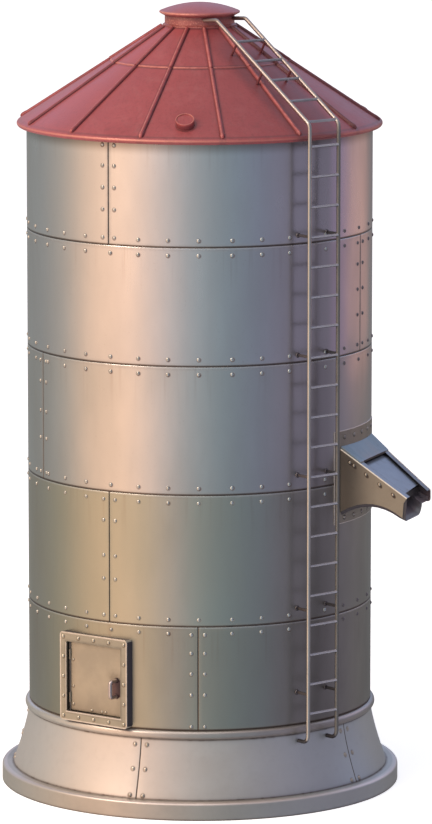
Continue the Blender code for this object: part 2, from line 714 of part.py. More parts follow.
def loft_mesh(name, sections):
    mesh = bpy.data.meshes.new(name)
    shape = bmesh.new()
    loops = [[shape.verts.new(point) for point in section] for section in sections]
    count = len(loops[0])
    for loop, next_loop in zip(loops, loops[1:]):
        for i in range(count):
            j = (i + 1) % count
            shape.faces.new((loop[i], loop[j], next_loop[j], next_loop[i]))
    half = count // 2
    for loop in (loops[0], loops[-1]):
        for i in range(half - 1):
            shape.faces.new((loop[i], loop[i + 1], loop[count - 2 - i], loop[count - 1 - i]))
    bmesh.ops.recalc_face_normals(shape, faces=shape.faces)
    shape.to_mesh(mesh)
    shape.free()
    return mesh


def build_chute(outlet_hole):
    place = turned_to(CHUTE_AZIMUTH)
    flange_r = WALL_R + GAP + PLATE
    flange = ring("chute_flange", WALL_R + GAP, flange_r, FLANGE_BOTTOM, FLANGE_TOP, "aged_steel")
    first, last = CHUTE_AZIMUTH - FLANGE_HALF_ANGLE, CHUTE_AZIMUTH + FLANGE_HALF_ANGLE
    cut(flange, half_space(first), half_space(last + 180), outlet_hole)
    outside_flange = tool("outside_flange", frustum_mesh(
        "outside_flange", SIDES, flange_r + GAP, flange_r + GAP, 2, 4.5))

    cut(build_cheek("chute_near_cheek", -1, 0), outside_flange)
    cut(build_cheek("chute_far_cheek", 1, FAR_TIP_RAISE), outside_flange)
    taper = math.atan2(CHUTE_ROOT_HALF - CHUTE_MOUTH_HALF, CHUTE_MOUTH - CHUTE_ROOT)
    clearance = CHEEK_PLATE / math.cos(taper) + GAP
    back, mouth = CHUTE_ROOT - 0.08, CHUTE_MOUTH - 0.004
    cover_start = CHUTE_ROOT + COVER_START * (CHUTE_MOUTH - CHUTE_ROOT)
    cover_end = CHUTE_ROOT + COVER_END * (CHUTE_MOUTH - CHUTE_ROOT)

    slope = math.atan2(CHUTE_TOP_Z - CHUTE_MOUTH_Z, CHUTE_MOUTH - CHUTE_ROOT)

    def edge(distance, inset=0.0, drop=0.0):
        return chute_half(distance - drop * math.sin(slope)) - clearance - inset

    tip = mouth + FAR_TIP_REACH
    outline = [(-edge(back), back), (edge(back), back), (edge(tip), tip),
               (edge(tip, COVER_STRIP), tip),
               (edge(cover_start, COVER_STRIP), cover_start), (-edge(cover_start, COVER_STRIP), cover_start),
               (-edge(mouth, COVER_STRIP), mouth), (-edge(mouth), mouth)]
    top_plate = sloping_plate("chute_top_plate", outline, 0.003, CHUTE_SHEET, "steel")
    join(top_plate, tool("apron", apron_mesh(edge, flange_r + GAP, cover_start), place))
    cut(top_plate, outside_flange)
    hidden = cover_start - 0.050
    far_end = cover_end - COVER_SKEW
    wide, narrow = edge(hidden, drop=COVER_DROP), edge(cover_end, drop=COVER_DROP)
    outline = [(-wide, hidden), (wide, hidden), (edge(far_end, drop=COVER_DROP), far_end), (-narrow, cover_end)]
    cover = sloping_plate("chute_cover", outline, COVER_DROP, CHUTE_SHEET, "steel")
    lip_start, lip_end = 2 * CHUTE_SHEET - narrow, narrow - 0.004
    skew = math.atan2(COVER_SKEW, 2 * narrow)
    front = cover_end - COVER_DROP * math.sin(slope) - CHUTE_SHEET
    front_z = chute_top(cover_end) - COVER_DROP * math.cos(slope) - 0.001
    corners = [(lip_start, 0), (lip_end, 0), (lip_end, -COVER_LIP), (lip_start, -COVER_LIP)]
    pose = Matrix.Translation((-narrow, -front, front_z)) @ Matrix.Rotation(skew, 4, "Z")
    pose = pose @ Matrix.Translation((narrow, 0, 0)) @ Matrix.Rotation(math.pi / 2, 4, "X")
    join(cover, tool("cover_lip", flat_mesh("cover_lip", corners, CHUTE_SHEET, place @ pose)))

    lip = CHUTE_MOUTH - TROUGH_LIP_BACK
    distances = [back + (lip - back) * step / 10 for step in range(11)]
    sections = [trough_section(distance, clearance) for distance in distances[:-1]]
    sections.append(trough_section(lip, clearance, TROUGH_LEAN))
    cut(piece("chute_trough", loft_mesh("chute_trough", sections), "aged_steel", place), outside_flange)


# Ladder

def ladder_point(x, distance, z):
    return turned_to(LADDER_AZIMUTH) @ Vector((x, -distance, z))


def rung(x_half, distance, z):
    return tube_mesh("rung", [ladder_point(-x_half, distance, z), ladder_point(x_half, distance, z)], RUNG_R, 2)


def rail_path(x, corners):
    return rounded([ladder_point(x, distance, z) for distance, z in corners], BEND_R)


def slope_z(distance):
    """Height of the rails over the roof."""
    top_distance, top_z = LADDER_TOP
    share = (distance - top_distance) / (LADDER_DISTANCE - top_distance)
    return top_z + (LADDER_EAVE_Z - top_z) * share


def arm_mesh(x, z):
    """Flat stand-off bar from a rail into the wall, where it is cut off."""
    low = (x - ARM_THICK / 2, -LADDER_DISTANCE, z - ARM_DEEP / 2)
    high = (x + ARM_THICK / 2, -WALL_R + 0.03, z + ARM_DEEP / 2)
    return box_mesh("arm", low, high)


def arm_foot_mesh(x, z):
    """Round foot of an arm, cut to the wall's curve."""
    length = ARM_FOOT_THICK + 0.03
    wall_distance = math.sqrt(WALL_R ** 2 - x ** 2)
    foot = frustum_mesh("arm_foot", 16, ARM_FOOT_R, ARM_FOOT_R, 0, length)
    foot.transform(Matrix.Translation((x, -wall_distance + 0.03, z)) @ Matrix.Rotation(math.pi / 2, 4, "X"))
    return foot


def roof_foot(x, distance):
    """Stub from a rail straight down to the roof's sheet."""
    rail_z = slope_z(distance)
    height_at = upper_z if distance < LAP_R else roof_z
    slope = math.atan(ROOF_TAN)
    drop = (rail_z - height_at(math.hypot(x, distance))) * math.cos(slope) - LAP_GAP
    end = (distance - drop * math.sin(slope), rail_z - drop * math.cos(slope))
    return tube_mesh("foot", [ladder_point(x, distance, rail_z), ladder_point(x, *end)], ROOF_FOOT_R, 2)


def build_ladder():
    foot_hook = (WALL_R - 0.03, LADDER_FOOT_Z)
    wall_corners = [foot_hook, (LADDER_DISTANCE, LADDER_FOOT_Z), (LADDER_DISTANCE, LADDER_SPLICE - GAP)]
    roof_corners = [(LADDER_DISTANCE, LADDER_SPLICE), (LADDER_DISTANCE, LADDER_EAVE_Z), LADDER_TOP, LADDER_END]
    rung_heights = [RUNG_TOP - RUNG_PITCH * number for number in range(RUNG_COUNT)]
    sides = (-LADDER_HALF_WIDTH, LADDER_HALF_WIDTH)

    rails = [tube_mesh("rail", rail_path(x, wall_corners), RAIL_R) for x in sides]
    wall_flight = piece("ladder_wall_flight", joined_mesh("ladder_wall_flight", rails), "ladder_steel")
    rungs = [rung(LADDER_HALF_WIDTH, LADDER_DISTANCE, z) for z in rung_heights if z < LADDER_SPLICE]
    join(wall_flight, tool("wall_rungs", joined_mesh("wall_rungs", rungs)))
    arms = [arm_mesh(x, z) for x in sides for z in ARM_HEIGHTS]
    feet = [arm_foot_mesh(x, z) for x in sides for z in ARM_HEIGHTS]
    place = turned_to(LADDER_AZIMUTH)
    join(wall_flight, tool("arms", joined_mesh("arms", arms), place))
    join(wall_flight, tool("arm_feet", joined_mesh("arm_feet", feet), place))
    high, low = skirt_heights[:2]
    outside_skirt = tool("outside_skirt", frustum_mesh(
        "outside_skirt", SIDES, skirt_radius(low) + GAP, skirt_radius(high) + GAP, low, high))
    cut(wall_flight, outside_skirt, outside_wall)

    rails = [tube_mesh("rail", rail_path(x, roof_corners), RAIL_R) for x in sides]
    roof_flight = piece("ladder_roof_flight", joined_mesh("ladder_roof_flight", rails), "ladder_steel")
    rungs = [rung(LADDER_HALF_WIDTH, LADDER_DISTANCE, z) for z in rung_heights if z > LADDER_SPLICE]
    rungs += [rung(LADDER_HALF_WIDTH, distance, slope_z(distance)) for distance in ROOF_RUNG_DISTANCES]
    feet = [roof_foot(x, distance) for x in sides for distance in ROOF_FOOT_DISTANCES]
    join(roof_flight, tool("roof_rungs", joined_mesh("roof_rungs", rungs)))
    join(roof_flight, tool("roof_feet", joined_mesh("roof_feet", feet)))
    outside_collar = tool("outside_collar", frustum_mesh(
        "outside_collar", SIDES, COLLAR_R + GAP, COLLAR_R + GAP, COLLAR_TOP - 0.2, COLLAR_TOP + 0.2))
    cut(roof_flight, outside_collar)


def shade_round_pieces():
    """Applies the modifiers, so that curved sides shade smooth and real edges stay sharp."""
    view = bpy.context.evaluated_depsgraph_get()
    meshes = {obj: bpy.data.meshes.new_from_object(obj.evaluated_get(view)) for obj in silo.objects}
    for obj, mesh in meshes.items():
        obj.modifiers.clear()
        obj.data = mesh
        mesh.name = obj.name
        mesh.shade_smooth()
        mesh.set_sharp_from_angle(angle=math.radians(30))


build_base()
outlet = build_walls()
build_roof()
build_vent()
build_hatch()
build_chute(outlet)
build_ladder()
shade_round_pieces()
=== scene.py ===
"""The looks of the riveted steel grain silo: its sheets, ribbed roof, ladder, hatch and chute,
with their fixings and finishes, in soft studio light.

Metres, +Z up. Azimuths are in degrees round the silo's axis: 0 is the front (-Y), and they grow
towards +X. "Distance" is measured out from the axis.
"""
import math

import bmesh
import bpy
from mathutils import Matrix, Vector


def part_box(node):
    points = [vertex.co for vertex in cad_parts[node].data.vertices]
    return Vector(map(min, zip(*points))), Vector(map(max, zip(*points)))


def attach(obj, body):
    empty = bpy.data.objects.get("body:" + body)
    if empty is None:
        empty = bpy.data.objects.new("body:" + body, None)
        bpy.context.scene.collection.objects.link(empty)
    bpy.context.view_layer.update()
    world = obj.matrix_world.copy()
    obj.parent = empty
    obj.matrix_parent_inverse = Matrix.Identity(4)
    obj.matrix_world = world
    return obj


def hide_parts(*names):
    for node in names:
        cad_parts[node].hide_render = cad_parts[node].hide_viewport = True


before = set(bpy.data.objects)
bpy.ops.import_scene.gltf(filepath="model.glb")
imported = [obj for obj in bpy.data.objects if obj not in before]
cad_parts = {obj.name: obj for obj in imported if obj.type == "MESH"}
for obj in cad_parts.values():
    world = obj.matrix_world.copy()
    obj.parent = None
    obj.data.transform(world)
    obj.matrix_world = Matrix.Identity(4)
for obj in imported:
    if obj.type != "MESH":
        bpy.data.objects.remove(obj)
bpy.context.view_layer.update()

# Wall sheets
WALL_R = 1.740
PLATE = 0.008
GAP = 0.0003
BEAD_Z = 0.803
BEAD_R = 0.045
BEAD_REACH = 1.782
BEAD_INNER_R = 1.700
LIP_REACH = 0.011
LIP_DEPTH = 0.0065
LIP_STEPS = (0.0, 0.04, 0.15, 0.35, 0.62, 1.0)
SHEET_STEP = 1.25
SHEET_SEAM_TURN = 0.005
CUT_OUTER = 2.200
CUT_INNER = 1.200

# Courses from the top down: names of the two halves, azimuth of the first seam, heights of the
# fixings beside the upright seams
TOP_COURSE = 1
LOW_COURSE = 5
COURSES = {
    1: (("right", "left"), -31.0, (6.659, 6.455, 6.240, 6.023, 5.745)),
    2: (("front", "back"), -113.2, (5.593, 5.380, 5.127, 4.871, 4.569)),
    3: (("front", "back"), -64.0, (4.417, 4.205, 3.907, 3.634, 3.289)),
    4: (("right", "left"), -31.0, (3.137, 2.927, 2.573, 2.338, 1.971)),
    5: (("right", "left"), -0.6, (1.819, 1.631, 1.424, 1.212, 0.891)),
}

# Rows of rivets beside the level seams, one every ten degrees. Each stretch of azimuths, from
# its first to its last, starts its count at its own turn.
ROW_OFFSET = 0.074
LOW_ROW_OFFSET = 0.067
ROW_STEP = 10
ROW_STARTS = ((-180, 5, -0.4), (5, 38, 0.5), (38, 170, 5.6), (170, 180, -0.4))
SEAM_OFFSET = 0.067
ROW_STOPS = 0.105
RIVET_WIDE = 0.038
RIVET_HIGH = 0.012
RIVET_VARIATION = 0.07
SUNK = 0.0003

# Base
PLINTH_R = 2.020
PLINTH_INNER_R = 1.790
PLINTH_HEIGHT = 0.175
PLINTH_PLATE = 0.012
SKIRT_FOOT_R = 1.905
SKIRT_TOP_R = 1.745
SKIRT_HOLLOW = 1.35
SKIRT_SEAMS = (-19.5, 55.7, 126.9, 198.1, 269.3)
SKIRT_RIVETS = (0.693, 0.456, 0.206)
SKIRT_OFFSET = 2.05
SKIRT_STEP = 2.5
SKIRT_ROWS = 12
SKIRT_SEAM_TURN = 0.006
LIP_ROUND = 0.032

# Roof
ROOF_TAN = 0.6476
RIM_BEAD_R = 0.030
RIM_REACH = 1.838
RIM_Z = 6.720
ROOF_SHEET = 0.005
LAP_R = 0.900
LAP_WIDTH = 0.030
LAP_GAP = 0.0004
ROOF_HOLE_R = 0.330
RIB_COUNT = 14
RIB_FIRST = -18.6
RIB_PITCH = 360 / RIB_COUNT
RIB_R = 0.024
RIB_SUNK = 0.18
RIB_KNOB = ((0.085, 1.0), (0.070, 1.04), (0.055, 1.16), (0.035, 1.20), (0.018, 1.10), (0.006, 0.78),
            (0.0, 0.30))
RIB_END_R = 1.812
RIM_LINE = (1.836, 6.728)
COLLAR_R = 0.350
COLLAR_SHEET = 0.006
COLLAR_FLANGE = 0.022
COLLAR_FLANGE_THICK = 0.014
COLLAR_TOP = 7.796
CAP_R = 0.405
CAP_TOP = 7.925
CAP_EDGE_Z = 7.829
CAP_EDGE_R = 0.0125
CAP_SHEET = 0.006
VENT_AZIMUTH = -5.0
VENT_DISTANCE = 1.628
VENT_R = 0.092
VENT_HEIGHT = 0.066
VENT_LIP = 0.010
VENT_SHEET = 0.005

# Hatch
HATCH_AZIMUTH = -36.5
HATCH_Z = 1.300
HATCH_FRONT = 1.785
HATCH_BLOCK_BACK = 1.550
HATCH_HOLE_FRONT = 2.000
HATCH_HOLE_BACK = 1.400
HATCH_HALF_WIDTH = 0.418
HATCH_HALF_HEIGHT = 0.4485
OPENING_HALF_WIDTH = 0.338
OPENING_HALF_HEIGHT = 0.355
DOOR_FRONT = 1.737
HANDLE_X = 0.257
HANDLE_Z = 1.240
HANDLE_HALF_HEIGHT = 0.080
HANDLE_STANDOFF = 0.105
HANDLE_R = 0.021
HANDLE_BEND = 0.032
HATCH_CORNER = 0.034
OPENING_CORNER = 0.016
HINGE_X = -0.320
HINGE_DISTANCE = 1.745
PIN_BORE = 0.0056
PIN_SEAT = 0.0203
HATCH_RIVET_XS = [share * 0.378 for share in (-1, -0.5, 0, 0.5, 1)]
HATCH_RIVET_ZS = [share * 0.40175 for share in (-1, -0.5, 0, 0.5, 1)]
DOOR_RIVETS = [(-0.287, z) for z in (0.169, -0.101, -0.285)]
DOOR_RIVETS += [(x, -0.322) for x in (-0.054, 0.071, 0.118)]

# Chute
CHUTE_AZIMUTH = 68.1
CHUTE_ROOT_HALF = 0.451
CHUTE_MOUTH_HALF = 0.326
CHUTE_ROOT = 1.6805
CHUTE_MOUTH = 2.352
CHUTE_TOP_Z = 3.5755
CHUTE_MOUTH_Z = 3.089
FLANGE_HALF_ANGLE = 18.1
FLANGE_BOTTOM = 2.806
FLANGE_TOP = 3.745
LID_START = 1.888
COVER_STRIP = 0.090
OUTLET_HALF_WIDTH = 0.400
OUTLET_BOTTOM = 3.040
OUTLET_TOP = 3.500
CHEEK_RIVETS = (0.15, 0.21, 0.39, 0.59, 0.79)
CHEEK_RIVET_FALL = 0.072
CHEEK_LENGTH = 0.683
BAND_TURNS = [step * 6.3 for step in range(-2, 3)]
BAND_HEIGHTS = (FLANGE_BOTTOM + 0.062, FLANGE_TOP - 0.066)

# Ladder
LADDER_AZIMUTH = 39.9
LADDER_HALF_WIDTH = 0.1875
LADDER_SIDES = (-LADDER_HALF_WIDTH, LADDER_HALF_WIDTH)
LADDER_DISTANCE = 1.900
RAIL_R = 0.020
RUNG_R = 0.014
RUNG_TOP = 6.644
RUNG_PITCH = 0.298
RUNG_COUNT = 20
LADDER_FOOT_Z = 0.690
LADDER_EAVE_Z = 6.860
LADDER_TOP = (0.487, 7.786)
LADDER_END = (0.290, 7.768)
LADDER_SPLICE = 6.500
BEND_R = 0.080
ROOF_RUNG_DISTANCES = (1.860, 1.587, 1.306, 1.051, 0.784)
ROOF_FOOT_DISTANCES = (1.190, 0.800)
ROOF_FOOT_R = 0.012
ARM_HEIGHTS = (5.760, 4.570, 3.370, 2.030, 1.180)
ARM_DEEP = 0.030
ARM_THICK = 0.014
ARM_FOOT_R = 0.027
ARM_FOOT_THICK = 0.012

# Camera: place, degrees that it looks down and to the right, lens and sensor in millimetres
CAMERA_PLACE = (0, -55.27, 12.77)
CAMERA_DOWN = 9.252
CAMERA_RIGHT = 0.170
CAMERA_LENS = 241.5
CAMERA_SENSOR = 36
CAMERA_REACH = 2000

# Floor
FLOOR_HALF = 600
FLOOR_TONE = (0.86, 0.86, 0.86)
FLOOR_GLOW = 0.62


# Places round the silo

def turned_to(azimuth, distance=0.0, height=0.0):
    """Frame that faces outwards at an azimuth: X to the right, -Y outwards, Z up."""
    spin = Matrix.Rotation(math.radians(azimuth), 4, "Z")
    return spin @ Matrix.Translation((0, -distance, height))


# Turns a shape that stands on its foot so that its top faces outwards
FACING_OUT = Matrix.Rotation(math.pi / 2, 4, "X")


def outwards(azimuth):
    return turned_to(azimuth) @ Vector((0, -1, 0))


def polar(azimuth, distance, height):
    return turned_to(azimuth) @ Vector((0, -distance, height))


def roof_rise(thickness):
    """Vertical measure of a thickness across the roof's slope."""
    return thickness * math.hypot(1, ROOF_TAN)


ROOF_SLOPE = math.atan(ROOF_TAN)
RIM_R = RIM_REACH - RIM_BEAD_R


def roof_z(distance):
    touch_r = RIM_R + RIM_BEAD_R * math.sin(ROOF_SLOPE)
    touch_z = RIM_Z + RIM_BEAD_R * math.cos(ROOF_SLOPE)
    return touch_z + (touch_r - distance) * ROOF_TAN


def upper_z(distance):
    return roof_z(distance) + roof_rise(ROOF_SHEET) + LAP_GAP


def skirt_radius(z):
    top = BEAD_Z - BEAD_R
    rise = (z - PLINTH_HEIGHT) / (top - PLINTH_HEIGHT)
    return SKIRT_TOP_R + (SKIRT_FOOT_R - SKIRT_TOP_R) * max(0, 1 - rise) ** SKIRT_HOLLOW


def slope_z(distance):
    """Height of the ladder's rails over the roof."""
    top_distance, top_z = LADDER_TOP
    share = (distance - top_distance) / (LADDER_DISTANCE - top_distance)
    return top_z + (LADDER_EAVE_Z - top_z) * share


# Meshes. Edges sharper than the hard angle stay crisp, and points closer than MERGE are one.

HARD_ANGLE = 35
ROUND_ANGLE = 50
FLAT_ANGLE = 0.4
MERGE = 0.00002


def mesh_from(name, points, faces, sharp=HARD_ANGLE):
    """Closed mesh with its faces outwards, smooth except over edges sharper than the angle."""
    mesh = bpy.data.meshes.new(name)
    mesh.from_pydata(points, [], faces)
    shape = bmesh.new()
    shape.from_mesh(mesh)
    bmesh.ops.remove_doubles(shape, verts=shape.verts, dist=MERGE)
    bmesh.ops.recalc_face_normals(shape, faces=shape.faces)
    shape.to_mesh(mesh)
    shape.free()
    mesh.shade_smooth()
    mesh.set_sharp_from_angle(angle=math.radians(sharp))
    return mesh


def linked(name, mesh):
    obj = bpy.data.objects.new(name, mesh)
    bpy.context.scene.collection.objects.link(obj)
    return obj


def as_made(obj):
    """Turns an object and its modifiers into one plain mesh."""
    view = bpy.context.evaluated_depsgraph_get()
    mesh = bpy.data.meshes.new_from_object(obj.evaluated_get(view))
    obj.modifiers.clear()
    obj.data = mesh
    mesh.name = obj.name
    return obj


def joined(name, meshes, matrices=None):
    """One mesh of several, each at its own place where matrices are given."""
    shape = bmesh.new()
    for number, mesh in enumerate(meshes):
        first = len(shape.verts)
        shape.from_mesh(mesh)
        shape.verts.ensure_lookup_table()
        if matrices:
            bmesh.ops.transform(shape, matrix=matrices[number], verts=shape.verts[first:])
    whole = bpy.data.meshes.new(name)
    shape.to_mesh(whole)
    shape.free()
    return whole


def finished(obj, finish, body="silo", nodes=()):
    """Gives a piece its finish and its place among the silo's pieces."""
    obj.data.materials.clear()
    obj.data.materials.append(finish)
    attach(obj, body)
    if nodes:
        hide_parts(*nodes)
    return obj


def eased(outline, reach, steps=3, closed=True):
    """Outline whose corners are cut back by the reach and rounded."""
    corners = [Vector(corner) for corner in outline]
    rounded_off = []
    last = len(corners) - 1
    for number, corner in enumerate(corners):
        if not closed and number in (0, last):
            rounded_off.append(tuple(corner))
            continue
        before = corners[number - 1] - corner
        after = corners[(number + 1) % len(corners)] - corner
        cut = min(reach, before.length / 2.1, after.length / 2.1)
        start = corner + before.normalized() * cut
        end = corner + after.normalized() * cut
        for step in range(steps + 1):
            share = step / steps
            point = start * (1 - share) ** 2 + corner * 2 * share * (1 - share)
            rounded_off.append(tuple(point + end * share ** 2))
    return rounded_off


def arc(centre, radius, first, last, steps):
    angles = [math.radians(first + (last - first) * step / steps) for step in range(steps + 1)]
    return [(centre[0] + radius * math.cos(a), centre[1] + radius * math.sin(a)) for a in angles]


def quads(here, there, count, closed=True):
    """Faces between two rows of points, from the numbers of their first points."""
    pairs = [(i, (i + 1) % count) for i in range(count if closed else count - 1)]
    return [(here + i, there + i, there + j, here + j) for i, j in pairs]


def turned(name, outline, steps=180, sharp=HARD_ANGLE):
    """Outline of distance and height, turned about the silo's axis."""
    points = [polar(360 * column / steps, r, z) for column in range(steps) for r, z in outline]
    count = len(outline)
    on_axis = outline[0][0] == 0 and outline[-1][0] == 0
    faces = []
    for column in range(steps):
        faces += quads(column * count, (column + 1) % steps * count, count, not on_axis)
    return mesh_from(name, points, faces, sharp)


def lofted(name, rings, sharp=HARD_ANGLE):
    """Closed skin over a row of rings, which all have as many points."""
    count = len(rings[0])
    points = [point for ring in rings for point in ring]
    last = len(points) - count
    faces = [tuple(range(count)), tuple(range(last, len(points)))]
    for here in range(0, last, count):
        faces += quads(here, here + count, count)
    return mesh_from(name, points, faces, sharp)


def rounded(points, radius, steps=8):
    """Open path through points, with an arc of the radius at every inner corner."""
    path = [Vector(points[0])]
    for before, corner, after in zip(points, points[1:], points[2:]):
        corner = Vector(corner)
        back = (Vector(before) - corner).normalized()
        ahead = (Vector(after) - corner).normalized()
        half = back.angle(ahead) / 2
        reach = radius / math.tan(half)
        centre = corner + (back + ahead).normalized() * (radius / math.sin(half))
        start = corner + back * reach - centre
        turn_axis = start.cross(corner + ahead * reach - centre).normalized()
        sweep = math.pi - 2 * half
        for step in range(steps + 1):
            path.append(centre + Matrix.Rotation(sweep * step / steps, 3, turn_axis) @ start)
    path.append(Vector(points[-1]))
    return path


def tube(name, path, radius, sides=16, radii=None):
    """Round bar along a path, with closed ends. radii scales the radius at each point."""
    path = [Vector(point) for point in path]
    radii = radii or [1.0] * len(path)
    ahead = [(after - before).normalized() for before, after in zip(path, path[1:])]
    between = [(a + b).normalized() for a, b in zip(ahead, ahead[1:])]
    tangents = [ahead[0]] + between + [ahead[-1]]
    angles = [math.tau * number / sides for number in range(sides)]
    side = tangents[0].orthogonal().normalized()
    rings = []
    for point, tangent, scale in zip(path, tangents, radii):
        side = (side - tangent * side.dot(tangent)).normalized()
        up = tangent.cross(side)
        arms = [(side * math.cos(a) + up * math.sin(a)) * radius * scale for a in angles]
        rings.append([point + arm for arm in arms])
    return lofted(name, rings)


def box_mesh(name, low, high):
    low, high = Vector(low), Vector(high)
    corners = [(x, y, z) for x in (low.x, high.x) for y in (low.y, high.y) for z in (low.z, high.z)]
    faces = [(0, 1, 3, 2), (4, 6, 7, 5), (0, 4, 5, 1), (2, 3, 7, 6), (0, 2, 6, 4), (1, 5, 7, 3)]
    return mesh_from(name, corners, faces)


def less(obj, *meshes):
    """Cuts solids out of an object."""
    for mesh in meshes:
        cutter = linked("cutter", mesh)
        modifier = obj.modifiers.new("cut", "BOOLEAN")
        modifier.operation = "DIFFERENCE"
        modifier.object = cutter
        as_made(obj)
        bpy.data.objects.remove(cutter)
    obj.data.set_sharp_from_angle(angle=math.radians(HARD_ANGLE))
    return obj


def edges_rounded(obj, reach, steps=2, angle=HARD_ANGLE):
    """Rounds the hard edges and keeps the flat sides flat."""
    bevel = obj.modifiers.new("rounded edges", "BEVEL")
    bevel.width = reach
    bevel.segments = steps
    bevel.limit_method = "ANGLE"
    bevel.angle_limit = math.radians(angle)
    bevel.use_clamp_overlap = True
    bevel.harden_normals = True
    return as_made(obj)


def worked_copy(name, node, reach, steps=2):
    """A copy of a node's solid with its hard edges rounded."""
    shape = bmesh.new()
    shape.from_mesh(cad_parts[node].data)
    bmesh.ops.remove_doubles(shape, verts=shape.verts, dist=MERGE)
    bmesh.ops.dissolve_limit(shape, angle_limit=math.radians(FLAT_ANGLE), verts=shape.verts,
                             edges=shape.edges)
    mesh = bpy.data.meshes.new(name)
    shape.to_mesh(mesh)
    shape.free()
    mesh.shade_smooth()
    mesh.set_sharp_from_angle(angle=math.radians(HARD_ANGLE))
    return edges_rounded(linked(name, mesh), reach, steps)


# Node trees written as expressions

class Flow:
    """One output of a node. Arithmetic on it adds Math nodes to its tree."""

    def __init__(self, recipe, socket):
        self.recipe = recipe
        self.socket = socket

    def maths(self, operation, *values, clamp=False):
        settings = {"operation": operation, "use_clamp": clamp}
        return self.recipe.node("ShaderNodeMath", settings, dict(enumerate(values)))

    def __add__(self, other):
        return self.maths("ADD", self, other)

    def __radd__(self, other):
        return self.maths("ADD", other, self)

    def __sub__(self, other):
        return self.maths("SUBTRACT", self, other)

    def __rsub__(self, other):
        return self.maths("SUBTRACT", other, self)

    def __mul__(self, other):
        return self.maths("MULTIPLY", self, other)

    def __rmul__(self, other):
        return self.maths("MULTIPLY", other, self)

    def __truediv__(self, other):
        return self.maths("DIVIDE", self, other)

    def __pow__(self, other):
        return self.maths("POWER", self, other)

    def __neg__(self):
        return self.maths("MULTIPLY", self, -1)

    def __abs__(self):
        return self.maths("ABSOLUTE", self)

    def least(self, other):
        return self.maths("MINIMUM", self, other)

    def most(self, other):
        return self.maths("MAXIMUM", self, other)

    def held(self):
        """The value kept from 0 to 1."""
        return self.maths("ADD", self, 0, clamp=True)

    def over(self, low, high):
        """0 below low and 1 above high, with a smooth rise between."""
        sockets = {"Value": self, "From Min": low, "From Max": high}
        return self.recipe.node("ShaderNodeMapRange", {"interpolation_type": "SMOOTHSTEP"}, sockets)

    def under(self, low, high):
        return 1 - self.over(low, high)

    def between(self, start, full, fade, end):
        """Rises from 0 to 1 between start and full, and falls back between fade and end."""
        return self.over(start, full) * self.under(fade, end)

    def beside(self, output):
        """Another output of the same node."""
        return Flow(self.recipe, self.socket.node.outputs[output])


class Recipe:
    """A node tree that is filled one call at a time."""

    def __init__(self, tree):
        self.tree = tree
        tree.nodes.clear()

    def node(self, kind, settings=None, inputs=None, out=0):
        """Adds a node: first its settings, then its sockets' values or links."""
        made = self.tree.nodes.new(kind)
        for name, value in (settings or {}).items():
            if name == "stops":
                self.set_stops(made.color_ramp, value)
            else:
                setattr(made, name, value)
        for place, value in (inputs or {}).items():
            socket = made.inputs[place]
            if isinstance(value, Flow):
                self.tree.links.new(value.socket, socket)
            elif socket.type == "RGBA":
                socket.default_value = (*value[:3], 1)
            else:
                socket.default_value = value
        return Flow(self, made.outputs[out]) if made.outputs else made

    @staticmethod
    def set_stops(ramp, stops):
        while len(ramp.elements) < len(stops):
            ramp.elements.new(1)
        for element, (position, colour) in zip(ramp.elements, stops):
            element.position = position
            element.color = (*colour, 1)


class Finish(Recipe):
    """A material on Object coordinates."""

    def __init__(self, name):
        self.material = bpy.data.materials.new(name)
        self.material.use_nodes = True
        super().__init__(self.material.node_tree)
        self.place = self.node("ShaderNodeTexCoord", out="Object")
        self.x = self.node("ShaderNodeSeparateXYZ", inputs={0: self.place})
        self.y = self.x.beside("Y")
        self.z = self.x.beside("Z")

    def azimuth(self):
        """Degrees round the silo's axis, from -180 to 180."""
        return self.x.maths("ARCTAN2", self.x, -self.y) * math.degrees(1)

    def distance(self):
        """Metres from the silo's axis."""
        return self.hypotenuse(self.x, self.y)

    def across(self, azimuth):
        """Metres to the right of an azimuth, for someone who faces the silo there."""
        turn = math.radians(azimuth)
        return self.x * math.cos(turn) + self.y * math.sin(turn)

    def outwards(self, azimuth):
        """Metres from the silo's axis along an azimuth."""
        turn = math.radians(azimuth)
        return self.x * math.sin(turn) - self.y * math.cos(turn)

    def hypotenuse(self, a, b):
        return (a * a + b * b) ** 0.5

    def smallest(self, values):
        smallest = values[0]
        for value in values[1:]:
            smallest = smallest.least(value)
        return smallest

    def nearest(self, value, places):
        """Distance to the nearest of several places along a line."""
        return self.smallest([abs(value - place) for place in places])

    def noise(self, scale, detail=3.0, stretch=(1, 1, 1), rough=0.55, shift=0.0):
        """Grain whose scale is in features a metre, stretched along the axes."""
        scales = [scale / share for share in stretch]
        multiply, add = {"operation": "MULTIPLY"}, {"operation": "ADD"}
        spread = self.node("ShaderNodeVectorMath", multiply, {0: self.place, 1: scales})
        moved = self.node("ShaderNodeVectorMath", add, {0: spread, 1: (shift, shift, shift)})
        sockets = {"Vector": moved, "Scale": 1.0, "Detail": detail, "Roughness": rough}
        return self.node("ShaderNodeTexNoise", None, sockets)

    def mix(self, factor, first, second):
        settings = {"data_type": "RGBA", "blend_type": "MIX", "clamp_factor": True}
        return self.node("ShaderNodeMix", settings, {0: factor, 6: first, 7: second}, out=2)

    def bump(self, height, distance, strength, below=None):
        sockets = {"Height": height, "Distance": distance, "Strength": strength}
        if below is not None:
            sockets["Normal"] = below
        return self.node("ShaderNodeBump", None, sockets)

    def done(self, colour, roughness, metallic, normal=None, **constants):
        sockets = {"Base Color": colour, "Roughness": roughness, "Metallic": metallic}
        sockets.update({name.replace("_", " "): value for name, value in constants.items()})
        if normal is not None:
            sockets["Normal"] = normal
        shader = self.node("ShaderNodeBsdfPrincipled", None, sockets)
        self.node("ShaderNodeOutputMaterial", None, {"Surface": shader})
        return self.material


# Finishes

